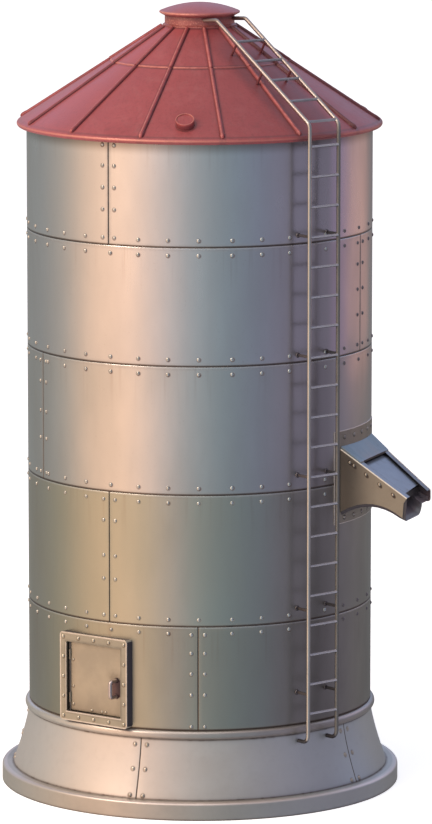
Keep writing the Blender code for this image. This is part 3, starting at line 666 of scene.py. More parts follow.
# Each finish: its tone where fresh, its tone where worn, its roughness
LOOKS = {
    "wall_steel_1": ((0.66, 0.64, 0.635), (0.60, 0.575, 0.565), 0.30),
    "wall_steel_2": ((0.64, 0.61, 0.60), (0.57, 0.545, 0.535), 0.31),
    "wall_steel_3": ((0.60, 0.57, 0.545), (0.52, 0.50, 0.475), 0.33),
    "wall_steel_4": ((0.475, 0.45, 0.395), (0.41, 0.39, 0.335), 0.41),
    "wall_steel_5": ((0.425, 0.40, 0.345), (0.36, 0.335, 0.288), 0.43),
    "plinth_steel": ((0.47, 0.43, 0.385), (0.42, 0.385, 0.345), 0.45),
    "bead_steel": ((0.43, 0.395, 0.365), (0.39, 0.355, 0.33), 0.37),
    "skirt_steel": ((0.58, 0.53, 0.49), (0.53, 0.48, 0.44), 0.39),
    "roof_paint": ((0.33, 0.056, 0.060), (0.37, 0.070, 0.075), 0.44),
    "vent_paint": ((0.33, 0.056, 0.060), (0.37, 0.070, 0.075), 0.44),
    "collar_paint": ((0.26, 0.060, 0.054), (0.32, 0.075, 0.068), 0.44),
    "cap_paint": ((0.33, 0.070, 0.075), (0.38, 0.092, 0.100), 0.44),
    "rib_paint": ((0.33, 0.060, 0.064), (0.58, 0.20, 0.17), 0.42),
    "rail_steel": ((0.54, 0.51, 0.47), (0.46, 0.44, 0.405), 0.34),
    "rung_steel": ((0.265, 0.258, 0.290), (0.215, 0.209, 0.235), 0.46),
    "arm_steel": ((0.17, 0.155, 0.165), (0.12, 0.108, 0.115), 0.45),
    "roof_foot_steel": ((0.17, 0.040, 0.044), (0.13, 0.032, 0.036), 0.50),
    "hatch_frame_steel": ((0.385, 0.36, 0.295), (0.345, 0.32, 0.262), 0.40),
    "hatch_door_steel": ((0.44, 0.39, 0.31), (0.39, 0.345, 0.275), 0.42),
    "grip_steel": ((0.62, 0.52, 0.49), (0.50, 0.43, 0.41), 0.36),
    "worn_steel": ((0.125, 0.072, 0.070), (0.07, 0.046, 0.050), 0.50),
    "pin_steel": ((0.30, 0.27, 0.25), (0.22, 0.20, 0.19), 0.40),
    "chute_plate": ((0.35, 0.29, 0.215), (0.31, 0.255, 0.19), 0.42),
    "chute_top": ((0.34, 0.37, 0.42), (0.30, 0.33, 0.375), 0.42),
    "chute_lid": ((0.34, 0.37, 0.42), (0.30, 0.33, 0.375), 0.42),
    "chute_channel_steel": ((0.30, 0.30, 0.32), (0.26, 0.26, 0.28), 0.50),
    "chute_band": ((0.33, 0.295, 0.245), (0.285, 0.255, 0.21), 0.42),
    "rivet_steel": ((0.60, 0.57, 0.51), (0.46, 0.44, 0.40), 0.30),
    "hatch_rivet_steel": ((0.60, 0.54, 0.43), (0.52, 0.47, 0.38), 0.30),
    "skirt_rivet_steel": ((0.56, 0.50, 0.43), (0.46, 0.41, 0.35), 0.34),
    "band_bolt_steel": ((0.46, 0.41, 0.37), (0.29, 0.26, 0.24), 0.30),
    "cheek_rivet_steel": ((0.50, 0.43, 0.34), (0.42, 0.36, 0.29), 0.20),
    "inner_steel": ((0.13, 0.12, 0.115), (0.21, 0.18, 0.16), 0.55),
}

# Tones of wear and dirt, and of painted shade, shadow and highlight
GRIME_AND_SHADE = (0.075, 0.045, 0.030)
RUST = (0.20, 0.085, 0.045)
BARE_AND_HIGHLIGHT = (0.88, 0.80, 0.74)
GROOVE = (0.035, 0.024, 0.020)
SHADE = (0.115, 0.085, 0.068)
RIVET_DIRT_AND_SHADOW = (0.10, 0.045, 0.035)
EAVE_SHADOW = (0.14, 0.09, 0.055)
BAR_DIRT = (0.16, 0.10, 0.07)

# Tones of the base: painted highlights on the plinth's lip and the bead's left, and painted shade at
# the right
PLINTH_LIP_HIGHLIGHT = (0.78, 0.68, 0.64)
BEAD_LIT_LEFT = (0.72, 0.65, 0.58)
PLINTH_SHADED_RIGHT = (0.52, 0.54, 0.53)
SKIRT_SHADED_RIGHT = (0.47, 0.51, 0.54)

# Tones of the red paint, where rubbed, dusty, dirty, and painted as lit, as highlight and as shade
RUBBED_AND_HIGHLIGHT = (0.70, 0.28, 0.20)
RED_DUST = (0.50, 0.26, 0.25)
RED_LEFT = (0.48, 0.115, 0.120)
RED_RIGHT = (0.14, 0.030, 0.034)
RED_RUNS = (0.14, 0.05, 0.045)
RED_DIRT_AND_SHADE = (0.10, 0.030, 0.035)
RED_SHADE = (0.09, 0.028, 0.032)
LADDER_SHADE = (0.09, 0.035, 0.042)
VENT_SHADE = (0.10, 0.028, 0.032)
COLLAR_SHADE = (0.09, 0.026, 0.028)
RIB_SHADED_SIDE = (0.085, 0.020, 0.024)
RIB_FOOT = (0.10, 0.025, 0.028)
RIB_RIGHT = (0.08, 0.022, 0.028)

# Tones of the ladder: its upper rails, and the painted shade on the rails' backs and under the rungs
UPPER_RAIL = (0.35, 0.30, 0.28)
RAIL_BACK = (0.07, 0.06, 0.065)
RUNG_UNDERSIDE = (0.032, 0.030, 0.034)

# Tones of the hatch: painted shadow round its rivets, painted shade deep in its opening and on its
# sides
HATCH_HALO = (0.13, 0.080, 0.050)
HATCH_DEEP = (0.05, 0.04, 0.04)
HATCH_SIDE = (0.125, 0.108, 0.128)
HINGE_SHADE = (0.15, 0.12, 0.09)

# Tones of the chute, many of them painted shade, shadow and highlight
CHEEK_HALO = (0.055, 0.035, 0.026)
CHEEK_ROOT = (0.065, 0.053, 0.048)
CHEEK_INSIDE = (0.26, 0.20, 0.21)
CHEEK_EDGE = (1.0, 0.90, 0.76)
APRON = (0.21, 0.275, 0.29)
FAR_STRIP = (0.19, 0.19, 0.20)
LID_STEP = (0.035, 0.030, 0.030)
TROUGH_LIP = (0.21, 0.17, 0.19)
TROUGH_NEAR = (0.06, 0.05, 0.055)
BAND_HALO = (0.03, 0.024, 0.024)

# Tones of the rivet heads at the right, painted as in shade
RIVET_RIGHT = (0.46, 0.52, 0.53)
RIVET_FAR_RIGHT = (0.13, 0.095, 0.10)

# Azimuths between which the looks change: from the lit left to the shaded right, from there to
# the far right, and back to plain behind the silo
FRONT_TURN = (-20, 20)
FAR_RIGHT = (46, 56)
BEHIND = (100, 140)

# Heights between which the ladder's looks change, for its rails, its rungs and its upper flight
RAIL_CHANGE = (6.75, 6.95)
RUNG_CHANGE = (6.75, 6.80)
FLIGHT_CHANGE = (6.80, 6.95)

# The painted shadow and dirt round a rivet lie a little lower than the rivet, and a little to the right
# in degrees
SHADOW_DROP = 0.005
SHADOW_TURN = 0.16


def shaded(tone, share):
    """A tone times one share, or times a share for each of its three parts."""
    shares = share if isinstance(share, tuple) else (share, share, share)
    return [part * own for part, own in zip(tone, shares)]


def upper_row(course):
    """How far below the top of a course its upper row of rivets stands."""
    return LOW_ROW_OFFSET if course == LOW_COURSE else ROW_OFFSET


def rivet_gap(f, course, above, below, across):
    """Distance from the middle of the nearest rivet's dirt and painted shadow on a course."""
    azimuth = f.azimuth() - SHADOW_TURN
    begin = previous = ROW_STARTS[0][2]
    for first, _, own in ROW_STARTS[1:]:
        begin = azimuth.maths("GREATER_THAN", azimuth, first) * (own - previous) + begin
        previous = own
    turn = azimuth.maths("PINGPONG", azimuth - begin, ROW_STEP / 2)
    rows = []
    if course != LOW_COURSE:
        rows.append(abs(above - (ROW_OFFSET - SHADOW_DROP)))
    if course != TOP_COURSE:
        rows.append(abs(below - upper_row(course) - SHADOW_DROP))
    stops = across.under(ROW_STOPS, ROW_STOPS + 0.001)
    row_gap = f.hypotenuse(turn * math.radians(WALL_R), f.smallest(rows)) + stops
    heights = COURSES[course][2]
    seam_gap = f.hypotenuse(across - SEAM_OFFSET, f.nearest(f.z + SHADOW_DROP, heights))
    return row_gap.least(seam_gap)


def wall_steel(course, low, high):
    """Satin sheet steel of one course, grimy along its seams, with painted light and shade on its
    edges.
    """
    name = "wall_steel_%d" % course
    tone, worn_tone, roughness = LOOKS[name]
    f = Finish(name)
    azimuth = f.azimuth()
    above, below = f.z - low, high - f.z
    across = abs(f.across(COURSES[course][1]))
    edge = above.least(below).least(across)
    fixings = rivet_gap(f, course, above, below, across)

    blotch = f.noise(1.3, 4, stretch=(1, 1, 2.2), shift=course * 3.1).over(0.32, 0.70)
    drift = f.noise(5.0, 3, stretch=(1, 1, 7), shift=course * 1.7)
    grain = f.noise(170.0, 2, stretch=(1, 1, 40))
    specks = f.noise(46.0, 3).over(0.60, 0.78)
    patchy = f.noise(9.0, 4, shift=course).over(0.25, 0.75)
    streaks = f.noise(24.0, 2, stretch=(1, 1, 30), shift=5.0).over(0.52, 0.80)
    runs = streaks * below.under(0.05, 0.55)
    dirt = edge.under(0.002, 0.050) * 0.28 + edge.under(0.0, 0.020) * 0.22
    dirt = dirt * (0.35 + 0.65 * patchy)
    far_right = azimuth.between(*FAR_RIGHT, *BEHIND)
    # Halo round each rivet: dirt, and a painted shadow set below and to the right of the head
    halo = fixings.under(0.017, 0.030) * (0.50 + 0.35 * patchy) * (1 - 0.75 * far_right)
    lip = below.under(0.012, 0.020)

    colour = f.mix(blotch, tone, worn_tone)
    colour = f.mix(drift.over(0.35, 0.75) * 0.12, colour, shaded(tone, 0.72))
    colour = f.mix(specks * 0.10, colour, RUST)
    colour = f.mix(dirt, colour, GRIME_AND_SHADE)
    colour = f.mix(halo, colour, RIVET_DIRT_AND_SHADOW)
    if course > 3:
        # On the lower courses the highlight at the front left is painted warmer, and the reflection at
        # the front is painted greener
        warm = azimuth.between(-75, -50, -20, -6)
        colour = f.mix(warm * 0.5, colour, shaded(tone, (0.90, 0.93, 0.79)))
        cool = azimuth.between(-8, 0, 20, 28)
        colour = f.mix(cool * 0.5, colour, shaded(tone, (0.93, 1.03, 1.01)))
    if course > 2:
        # Painted shade of the ladder on the lower courses
        shade_behind_ladder = azimuth.between(35, 41, 46, 51)
        colour = f.mix(shade_behind_ladder * 0.28, colour, shaded(tone, 0.5))
    else:
        # Painted lighter reflection beside the ladder on the upper courses
        reflection_beside_ladder = azimuth.between(46, 50, 53, 60) * (0.60 if course == TOP_COURSE else 0.50)
        colour = f.mix(reflection_beside_ladder, colour, shaded(tone, (1.38, 1.16, 1.34)))
    if course == TOP_COURSE:
        # Painted shadow under the eave, on the top course
        eave = f.z.over(RIM_Z - 0.16, RIM_Z - 0.03)
        colour = f.mix(eave * 0.60, colour, EAVE_SHADOW)
    colour = f.mix(runs * 0.16, colour, RUST)
    # Painted highlight along each sheet's rolled top lip, and painted shadow under its lower edge and
    # beside its upright seams
    colour = f.mix(lip * 0.50, colour, [part * 0.55 + 0.36 for part in tone])
    colour = f.mix(above.under(0.012, 0.022) * 0.88, colour, SHADE)
    colour = f.mix(across.under(0.0045, 0.0095) * 0.85, colour, SHADE)
    colour = f.mix(edge.under(0.0014, 0.0034), colour, GROOVE)

    shine = roughness + 0.07 * (blotch - 0.5) + 0.10 * (drift - 0.5)
    shine = shine + 0.16 * dirt + 0.10 * halo - 0.08 * lip
    fine = f.bump(grain, 0.0002, 0.30)
    waves = f.bump(f.noise(2.6, 2, stretch=(1, 1, 1.6), shift=course), 0.012, 0.22, fine)
    return f.done(colour, shine, 1 - 0.35 * dirt - 0.3 * halo, waves)


def base_steel(name, metallic, edges=(), seams=(), right=None):
    """Heavier plate low on the silo. edges are heights of its joints, seams their azimuths.

    The sheets at the front left are painted paler, as lit. right is the painted shaded tone of those at
    the right.
    """
    tone, worn_tone, roughness = LOOKS[name]
    f = Finish(name)
    azimuth = f.azimuth()
    blotch = f.noise(2.1, 4, stretch=(1, 1, 0.8), shift=2.0).over(0.30, 0.70)
    splash = f.noise(13.0, 4, shift=7.0).over(0.45, 0.80)
    grain = f.noise(120.0, 2)
    colour = f.mix(blotch, tone, worn_tone)
    if right:
        # Painted light at the lit front left, painted shade at the right, and a little painted light
        # further round
        left = azimuth.under(-62, -30)
        if seams:
            left = azimuth.under(-22, -17) * (0.58 + 0.35 * left)
        colour = f.mix(left * azimuth.over(-96, -88) * 0.8, colour, shaded(tone, 1.24))
        colour = f.mix(azimuth.between(5, 40, *BEHIND) * 0.8, colour, right)
        colour = f.mix(azimuth.between(58, 82, *BEHIND) * 0.5, colour, shaded(tone, 1.05))
    dirt = splash * 0.05
    if edges:
        # Dirt and painted shade along the joints
        gap = f.nearest(f.z, edges)
        dirt = gap.under(0.003, 0.035) * 0.28 + gap.under(0.006, 0.018) * 0.62 + dirt
    if name == "plinth_steel":
        distance = f.distance()
        # Painted shade where the skirt's foot meets the plinth
        foot = distance.under(SKIRT_FOOT_R + 0.006, SKIRT_FOOT_R + 0.026)
        dirt = foot * 0.60 + dirt
        # Painted highlight along the plinth's rounded lip
        lip = distance.over(PLINTH_R - 0.060, PLINTH_R - 0.040)
        lip = lip * f.z.over(PLINTH_HEIGHT - 0.026, PLINTH_HEIGHT - 0.012)
        colour = f.mix(lip * 0.55, colour, PLINTH_LIP_HIGHLIGHT)
    if name == "bead_steel":
        # Painted light on the bead's left, and painted shade on its lower half and along its underside
        left = azimuth.between(-115, -95, -45, -5)
        colour = f.mix(left * 0.9, colour, BEAD_LIT_LEFT)
        dirt = f.z.under(BEAD_Z - 0.040, BEAD_Z + 0.010) * 0.30 + dirt
        dirt = f.z.under(BEAD_Z - 0.043, BEAD_Z - 0.034) * 0.60 + dirt
    if seams:
        metres = math.radians(SKIRT_FOOT_R)
        gap = f.nearest(azimuth, [(seam + 180) % 360 - 180 for seam in seams]) * metres
        heads = f.hypotenuse(abs(gap - metres * SKIRT_OFFSET), f.nearest(f.z, SKIRT_RIVETS))
        dirt = dirt + heads.under(0.020, 0.034) * 0.60
        colour = f.mix(gap.under(0.004, 0.010) * 0.85, colour, SHADE)
    dirt = dirt.held() * (0.70 + 0.30 * splash)
    colour = f.mix(dirt, colour, GRIME_AND_SHADE)
    shine = roughness + 0.06 * (blotch - 0.5) + 0.10 * dirt
    normal = f.bump(f.noise(3.5, 2), 0.008, 0.15, f.bump(grain, 0.0006, 0.30))
    return f.done(colour, shine, metallic, normal)


def roof_marks(f, colour, tone, dust):
    """Dirt beside the ribs, a worn rim, and painted light and shade round the rim, lap, collar and
    ladder.
    """
    distance, azimuth = f.distance(), f.azimuth()
    rim_r, rim_z = RIM_LINE
    turn = azimuth.maths("PINGPONG", azimuth - RIB_FIRST, RIB_PITCH / 2)
    rib_gap = turn * distance * math.radians(1)
    colour = f.mix(rib_gap.under(0.022, 0.050) * (0.35 + 0.3 * dust), colour, RED_DIRT_AND_SHADE)
    # Painted shade on the rim's lower side, and in the crease just inside the rim
    below = f.z.under(rim_z - 0.016, rim_z - 0.008) * distance.over(1.80, 1.81)
    colour = f.mix(below * 0.45, colour, shaded(tone, 0.5))
    inner = (rim_r - distance).between(0.012, 0.024, 0.036, 0.050) * f.z.over(RIM_Z, RIM_Z + 0.01)
    colour = f.mix(inner * 0.45, colour, RED_DIRT_AND_SHADE)
    # The rim's lip rubbed to orange, more at the lit left as a painted highlight
    lip = f.hypotenuse(distance - rim_r, f.z - rim_z).under(0.005, 0.013)
    colour = f.mix(lip * (0.30 + 0.30 * azimuth.under(*FRONT_TURN)), colour, RUBBED_AND_HIGHLIGHT)
    # Painted shadow above and below the lap and at the collar's foot
    above_lap = distance.between(LAP_R - 0.034, LAP_R - 0.026, LAP_R - 0.020, LAP_R - 0.014)
    below_lap = distance.between(LAP_R, LAP_R + 0.002, LAP_R + 0.012, LAP_R + 0.024)
    flange_r = COLLAR_R + COLLAR_FLANGE
    foot = distance.under(flange_r + 0.004, flange_r + 0.026)
    colour = f.mix(below_lap.most(above_lap * 0.7).most(foot) * 0.60, colour, RED_SHADE)
    ladder = abs(f.across(LADDER_AZIMUTH)).under(0.22, 0.38)
    ladder = ladder * f.outwards(LADDER_AZIMUTH).over(0.4, 0.8)
    colour = f.mix(ladder * 0.46, colour, LADDER_SHADE)
    colour = f.mix(azimuth.under(-70, -15) * 0.5, colour, RED_LEFT)
    colour = f.mix(azimuth.between(-20, 15, 90, 130) * 0.22, colour, RED_RIGHT)
    runs = f.noise(18.0, 3, shift=3.0).over(0.5, 0.8) * distance.over(1.2, 1.8)
    return f.mix(runs * 0.25, colour, RED_RUNS)


def vent_marks(f, colour, dust, on_vent):
    """Painted shadow round the vent, or the vent's painted shaded side and rubbed, painted-lit rim."""
    across = f.across(VENT_AZIMUTH)
    rise, down = f.z - roof_z(VENT_DISTANCE), f.outwards(VENT_AZIMUTH) - VENT_DISTANCE
    along = down * math.cos(ROOF_SLOPE) - rise * math.sin(ROOF_SLOPE)
    height = down * math.sin(ROOF_SLOPE) + rise * math.cos(ROOF_SLOPE)
    if not on_vent:
        # Painted shadow of the vent, cast down and to the right
        shade = f.hypotenuse(across - 0.010, along - 0.012).under(VENT_R + 0.004, VENT_R + 0.026)
        return f.mix(shade * 0.55, colour, RED_SHADE)
    side = f.hypotenuse(across, along).over(VENT_R - 0.006, VENT_R - 0.003)
    side = side * height.under(VENT_HEIGHT - 0.030, VENT_HEIGHT - 0.012)
    colour = f.mix(side * 0.5, colour, VENT_SHADE)
    # Rim rubbed, with a painted highlight
    crest = height.over(VENT_HEIGHT - 0.010, VENT_HEIGHT - 0.004)
    return f.mix(crest * (0.25 + 0.25 * dust), colour, RUBBED_AND_HIGHLIGHT)


def roof_paint(name, worn_edge=None):
    """Dusty red hammered paint. worn_edge is the distance at which an edge is rubbed to orange and
    painted lit.
    """
    tone, faded, roughness = LOOKS[name]
    f = Finish(name)
    blotch = f.noise(2.4, 4, shift=4.0).over(0.30, 0.72)
    pits = f.noise(62.0, 2, rough=0.4)
    dots = f.noise(30.0, 1, rough=0.4, shift=9.0).over(0.50, 0.66)
    dust = f.noise(9.0, 4, shift=11.0).over(0.45, 0.80)
    colour = f.mix(blotch, tone, faded)
    colour = f.mix(dots * 0.20, colour, shaded(tone, 0.55))
    colour = f.mix(dust * 0.12, colour, RED_DUST)
    if name == "roof_paint":
        colour = roof_marks(f, colour, tone, dust)
        colour = vent_marks(f, colour, dust, False)
    if name == "vent_paint":
        colour = vent_marks(f, colour, dust, True)
    if name == "collar_paint":
        # Chips rubbed to orange, more at the lit left as painted light
        left = 0.4 + 0.6 * f.azimuth().under(*FRONT_TURN)
        chipped = f.noise(64.0, 3, shift=6.0).over(0.50, 0.66) * left
        colour = f.mix(chipped * 0.50, colour, RUBBED_AND_HIGHLIGHT)
        # Painted shadow of the cap on the top of the collar
        top = f.z.over(COLLAR_TOP - 0.045, COLLAR_TOP - 0.010)
        colour = f.mix(top * 0.5, colour, COLLAR_SHADE)
    if worn_edge:
        # The edge is rubbed, more so at the lit left as a painted highlight
        left = 0.3 + 0.7 * f.azimuth().under(*FRONT_TURN)
        chips = f.noise(26.0, 4, shift=6.0).over(0.30, 0.62)
        band = abs(f.distance() - worn_edge).under(0.0035, 0.010)
        colour = f.mix(band * (0.25 + 0.40 * chips) * left, colour, RUBBED_AND_HIGHLIGHT)
    shine = roughness + 0.10 * (blotch - 0.5) + 0.10 * dust
    normal = f.bump(pits, 0.0030, 0.50)
    return f.done(colour, shine, 0.20, normal, Coat_Weight=0.35, Coat_Roughness=0.36)


def rib_paint():
    """Paint of the battens: a rubbed, painted-lit crest, and painted shade on sides and right ribs."""
    tone, crest, roughness = LOOKS["rib_paint"]
    f = Finish("rib_paint")
    azimuth = f.azimuth()
    turn = azimuth - RIB_FIRST
    turn = turn.maths("FLOORED_MODULO", turn + RIB_PITCH / 2, RIB_PITCH) - RIB_PITCH / 2
    side = turn * f.distance() * math.radians(1)
    chips = f.noise(22.0, 4, shift=1.0).over(0.30, 0.62)
    blotch = f.noise(6.0, 3).over(0.35, 0.70)
    colour = f.mix(blotch, tone, shaded(tone, 0.75))
    # Crest rubbed to orange on its left, partly as a painted highlight
    worn = abs(side + 0.009).under(0.004, 0.011) * (0.28 + 0.40 * chips)
    colour = f.mix(worn, colour, crest)
    # Painted shade on each rib's right side, stronger round from the left, and a little at its left
    # foot
    shaded_side = 0.20 + 0.48 * azimuth.over(-90, -75)
    colour = f.mix(side.over(0.008, 0.018) * shaded_side, colour, RIB_SHADED_SIDE)
    colour = f.mix(side.under(-0.025, -0.019) * 0.45, colour, RIB_FOOT)
    # Painted shade on the ribs at the right
    colour = f.mix(azimuth.between(40, 52, 110, 130) * 0.8, colour, RIB_RIGHT)
    normal = f.bump(f.noise(60.0, 2), 0.002, 0.5)
    shine = roughness + 0.1 * blotch
    return f.done(colour, shine, 0.25, normal, Coat_Weight=0.15, Coat_Roughness=0.30)


def bar_steel(name, dirt, metallic=0.95):
    """Drawn bar of the ladder, the handle and the hinge. dirt is the share of its dark specks.

    The ladder's right rail is painted darker, as shade, and rougher than its left one up to the
    eave, where both change, and each rung has painted shade underneath.
    """
    tone, worn_tone, roughness = LOOKS[name]
    f = Finish(name)
    blotch = f.noise(5.0, 4, stretch=(1, 1, 2)).over(0.35, 0.70)
    specks = f.noise(38.0, 3).over(0.55, 0.75)
    colour = f.mix(blotch, tone, worn_tone)
    colour = f.mix(specks * dirt, colour, BAR_DIRT)
    if name == "rail_steel":
        # The right rail up to the eave is painted darker, as shade, and made rougher
        right = f.across(LADDER_AZIMUTH).over(-0.02, 0.02) * f.z.under(*RAIL_CHANGE)
        colour = f.mix(right * 0.85, colour, shaded(tone, 0.40))
        colour = f.mix(f.z.over(*FLIGHT_CHANGE) * 0.95, colour, UPPER_RAIL)
        # Painted shade on the rails' backs, where they face the wall
        back = f.outwards(LADDER_AZIMUTH).under(LADDER_DISTANCE - 0.012, LADDER_DISTANCE - 0.002)
        colour = f.mix(back * f.z.under(6.70, 6.80) * 0.85, colour, RAIL_BACK)
        roughness = roughness + 0.28 * right
    if name == "rung_steel":
        lower_flight = f.z.under(*RUNG_CHANGE)
        level = f.z - RUNG_TOP + RUNG_PITCH / 2
        level = f.z.maths("FLOORED_MODULO", level, RUNG_PITCH) - RUNG_PITCH / 2
        colour = f.mix(lower_flight, colour, shaded(tone, 1.28))
        # Painted shade under each rung of the lower flight
        shade = level.under(-0.010, -0.002) * lower_flight
        colour = f.mix(shade * 0.9, colour, RUNG_UNDERSIDE)
    normal = f.bump(f.noise(150.0, 2), 0.0004, 0.4)
    return f.done(colour, roughness + 0.10 * specks, metallic, normal)


def hatch_steel(name):
    """Plate of the hatch: edges rubbed bright with a painted highlight, corners dirty, and painted
    shade.
    """
    tone, worn_tone, roughness = LOOKS[name]
    f = Finish(name)
    across, out, up = f.across(HATCH_AZIMUTH), f.outwards(HATCH_AZIMUTH), f.z - HATCH_Z
    blotch = f.noise(4.2, 4, shift=8.0).over(0.30, 0.70)
    patchy = f.noise(15.0, 4, shift=2.5).over(0.25, 0.75)
    inside = (OPENING_HALF_WIDTH - abs(across)).least(OPENING_HALF_HEIGHT - abs(up))
    outside = (HATCH_HALF_WIDTH - abs(across)).least(HATCH_HALF_HEIGHT - abs(up))
    on_frame = inside.under(-0.001, 0.0)
    left_half = across.under(0, 0.001)
    corner = abs(inside).under(0.0, 0.035)

    colour = f.mix(blotch, tone, worn_tone)
    touched = f.hypotenuse((across - HANDLE_X + 0.03) * 0.8, f.z - HANDLE_Z - 0.11)
    colour = f.mix(touched.under(0.02, 0.10) * 0.35 * patchy, colour, GRIME_AND_SHADE)
    colour = f.mix(corner * (0.15 + 0.25 * patchy), colour, GRIME_AND_SHADE)
    # Edges rubbed bright, partly a painted highlight
    colour = f.mix(outside.under(0.005, 0.018) * (0.40 + 0.35 * patchy), colour, BARE_AND_HIGHLIGHT)

    # Painted shadow, with dirt, below and to the right of each rivet
    columns = f.nearest(across - 0.004, HATCH_RIVET_XS)
    heads = f.hypotenuse(columns, f.nearest(up + SHADOW_DROP, HATCH_RIVET_ZS))
    halo = heads.under(0.017, 0.029) * on_frame
    for x, z in DOOR_RIVETS:
        halo = f.hypotenuse(across - x - 0.003, up - z + 0.004).under(0.013, 0.023).most(halo)
    colour = f.mix(halo * (0.40 + 0.30 * patchy), colour, HATCH_HALO)

    # The frame's edge round the opening: a painted highlight below and at the left, and painted shade
    # just inside
    sill = up.under(-OPENING_HALF_HEIGHT + 0.002, -OPENING_HALF_HEIGHT + 0.004)
    sill = sill * inside.over(-0.014, -0.007) * out.over(HATCH_FRONT - 0.03, HATCH_FRONT - 0.02)
    jamb = inside.over(-0.012, -0.006) * on_frame * left_half * abs(up).under(0.340, 0.352)
    colour = f.mix(sill.most(jamb * 0.9) * 0.65, colour, BARE_AND_HIGHLIGHT)
    deep = inside.between(-0.002, -0.001, 0.0005, 0.001) * left_half
    deep = deep * out.under(HATCH_FRONT - 0.020, HATCH_FRONT - 0.014)
    colour = f.mix(deep * 0.8, colour, HATCH_DEEP)

    colour = f.mix(up.under(-0.36, -0.08) * (1 - on_frame) * 0.20, colour, GRIME_AND_SHADE)
    hinge = across.under(HINGE_X + 0.012, HINGE_X + 0.016) * inside.over(0.001, 0.003)
    hinge = hinge * out.over(DOOR_FRONT + 0.0005, DOOR_FRONT + 0.0015)
    colour = f.mix(hinge * 0.35, colour, HINGE_SHADE)
    # Painted shade on the frame's sides
    sides = out.under(HATCH_FRONT - 0.014, HATCH_FRONT - 0.006) * outside.under(0.002, 0.004)
    colour = f.mix(sides, colour, HATCH_SIDE)
    normal = f.bump(f.noise(3.0, 2), 0.008, 0.25, f.bump(f.noise(130.0, 2), 0.0006, 0.35))
    return f.done(colour, roughness + 0.08 * blotch + 0.12 * corner, 0.85, normal)


class ChuteSteel:
    """Weathered plate of the chute, measured from the chute's own sides and slope."""

    def __init__(self, name, metallic=0.85):
        tone, worn_tone, self.roughness = LOOKS[name]
        f = self.f = Finish(name)
        self.metallic = metallic
        self.side = f.across(CHUTE_AZIMUTH)
        self.out = f.outwards(CHUTE_AZIMUTH)
        self.share = (self.out - CHUTE_ROOT) / (CHUTE_MOUTH - CHUTE_ROOT)
        self.fall = CHUTE_TOP_Z + self.share * (CHUTE_MOUTH_Z - CHUTE_TOP_Z) - f.z
        narrower = self.share * (CHUTE_MOUTH_HALF - CHUTE_ROOT_HALF)
        self.inset = CHUTE_ROOT_HALF + narrower - abs(self.side)
        self.rust = f.noise(11.0, 5, shift=6.5).over(0.55, 0.82)
        self.colour = f.mix(f.noise(4.0, 4, shift=1.5).over(0.30, 0.70), tone, worn_tone)
        self.coat(self.rust * 0.18, RUST)

    def coat(self, factor, tone):
        self.colour = self.f.mix(factor, self.colour, tone)

    def done(self):
        f = self.f
        normal = f.bump(f.noise(5.0, 2), 0.005, 0.25, f.bump(f.noise(140.0, 2), 0.0005, 0.35))
        return f.done(self.colour, self.roughness + 0.12 * self.rust, self.metallic, normal)


def cheek_steel():
    """The chute's sides: painted shade near the wall and inside, painted highlight along the upper
    edge.
    """
    steel = ChuteSteel("chute_plate")
    f = steel.f
    # Painted shadow, with dirt, below each rivet
    columns = f.nearest(steel.share - 0.007, CHEEK_RIVETS) * CHEEK_LENGTH
    heads = f.hypotenuse(columns, steel.fall - CHEEK_RIVET_FALL - SHADOW_DROP)
    steel.coat(heads.under(0.018, 0.029) * 0.88, CHEEK_HALO)
    steel.coat(steel.out.under(1.74, 2.14) * 0.74, CHEEK_ROOT)
    steel.coat(steel.inset.over(0.006, 0.009) * steel.fall.over(0.002, 0.006), CHEEK_INSIDE)
    steel.coat(steel.fall.under(0.010, 0.018), CHEEK_EDGE)
    return steel.done()


def top_steel():
    """The chute's top plate: cool painted shade by the wall, dull far strip, painted shadow at the
    lid's step.
    """
    steel = ChuteSteel("chute_top")
    # Cool painted shade by the wall
    steel.coat(steel.out.under(LID_START - 0.03, LID_START + 0.03) * 0.6, APRON)
    strip = steel.side.over(0.05, 0.10) * steel.out.over(LID_START, LID_START + 0.10)
    steel.coat(strip * 0.75, FAR_STRIP)
    # Painted shadow at the step down to the lid
    step = steel.out.over(LID_START - 0.002, LID_START - 0.001)
    step = step * steel.inset.over(COVER_STRIP + 0.006, COVER_STRIP + 0.009)
    steel.coat(step * 0.92, LID_STEP)
    return steel.done()


def lid_steel():
    """The lid set into the top plate, with painted shadow at its head and along its sides."""
    steel = ChuteSteel("chute_lid")
    step = steel.out.under(LID_START + 0.004, LID_START + 0.034)
    steel.coat(step.most(steel.fall.over(0.044, 0.050)) * 0.92, LID_STEP)
    return steel.done()


def trough_steel():
    """The chute's floor, painted darker as shade except at its mouth end, and darkest at its near side.
    """
    steel = ChuteSteel("chute_channel_steel", 0.4)
    # Painted shade over the floor back from its mouth, and darker painted shade at its near side, under
    # the near cheek
    steel.coat(steel.out.under(2.262, 2.292).most(steel.side.over(0.15, 0.17)) * 0.95, TROUGH_LIP)
    steel.coat(steel.side.under(-0.28, -0.25) * 0.95, TROUGH_NEAR)
    return steel.done()


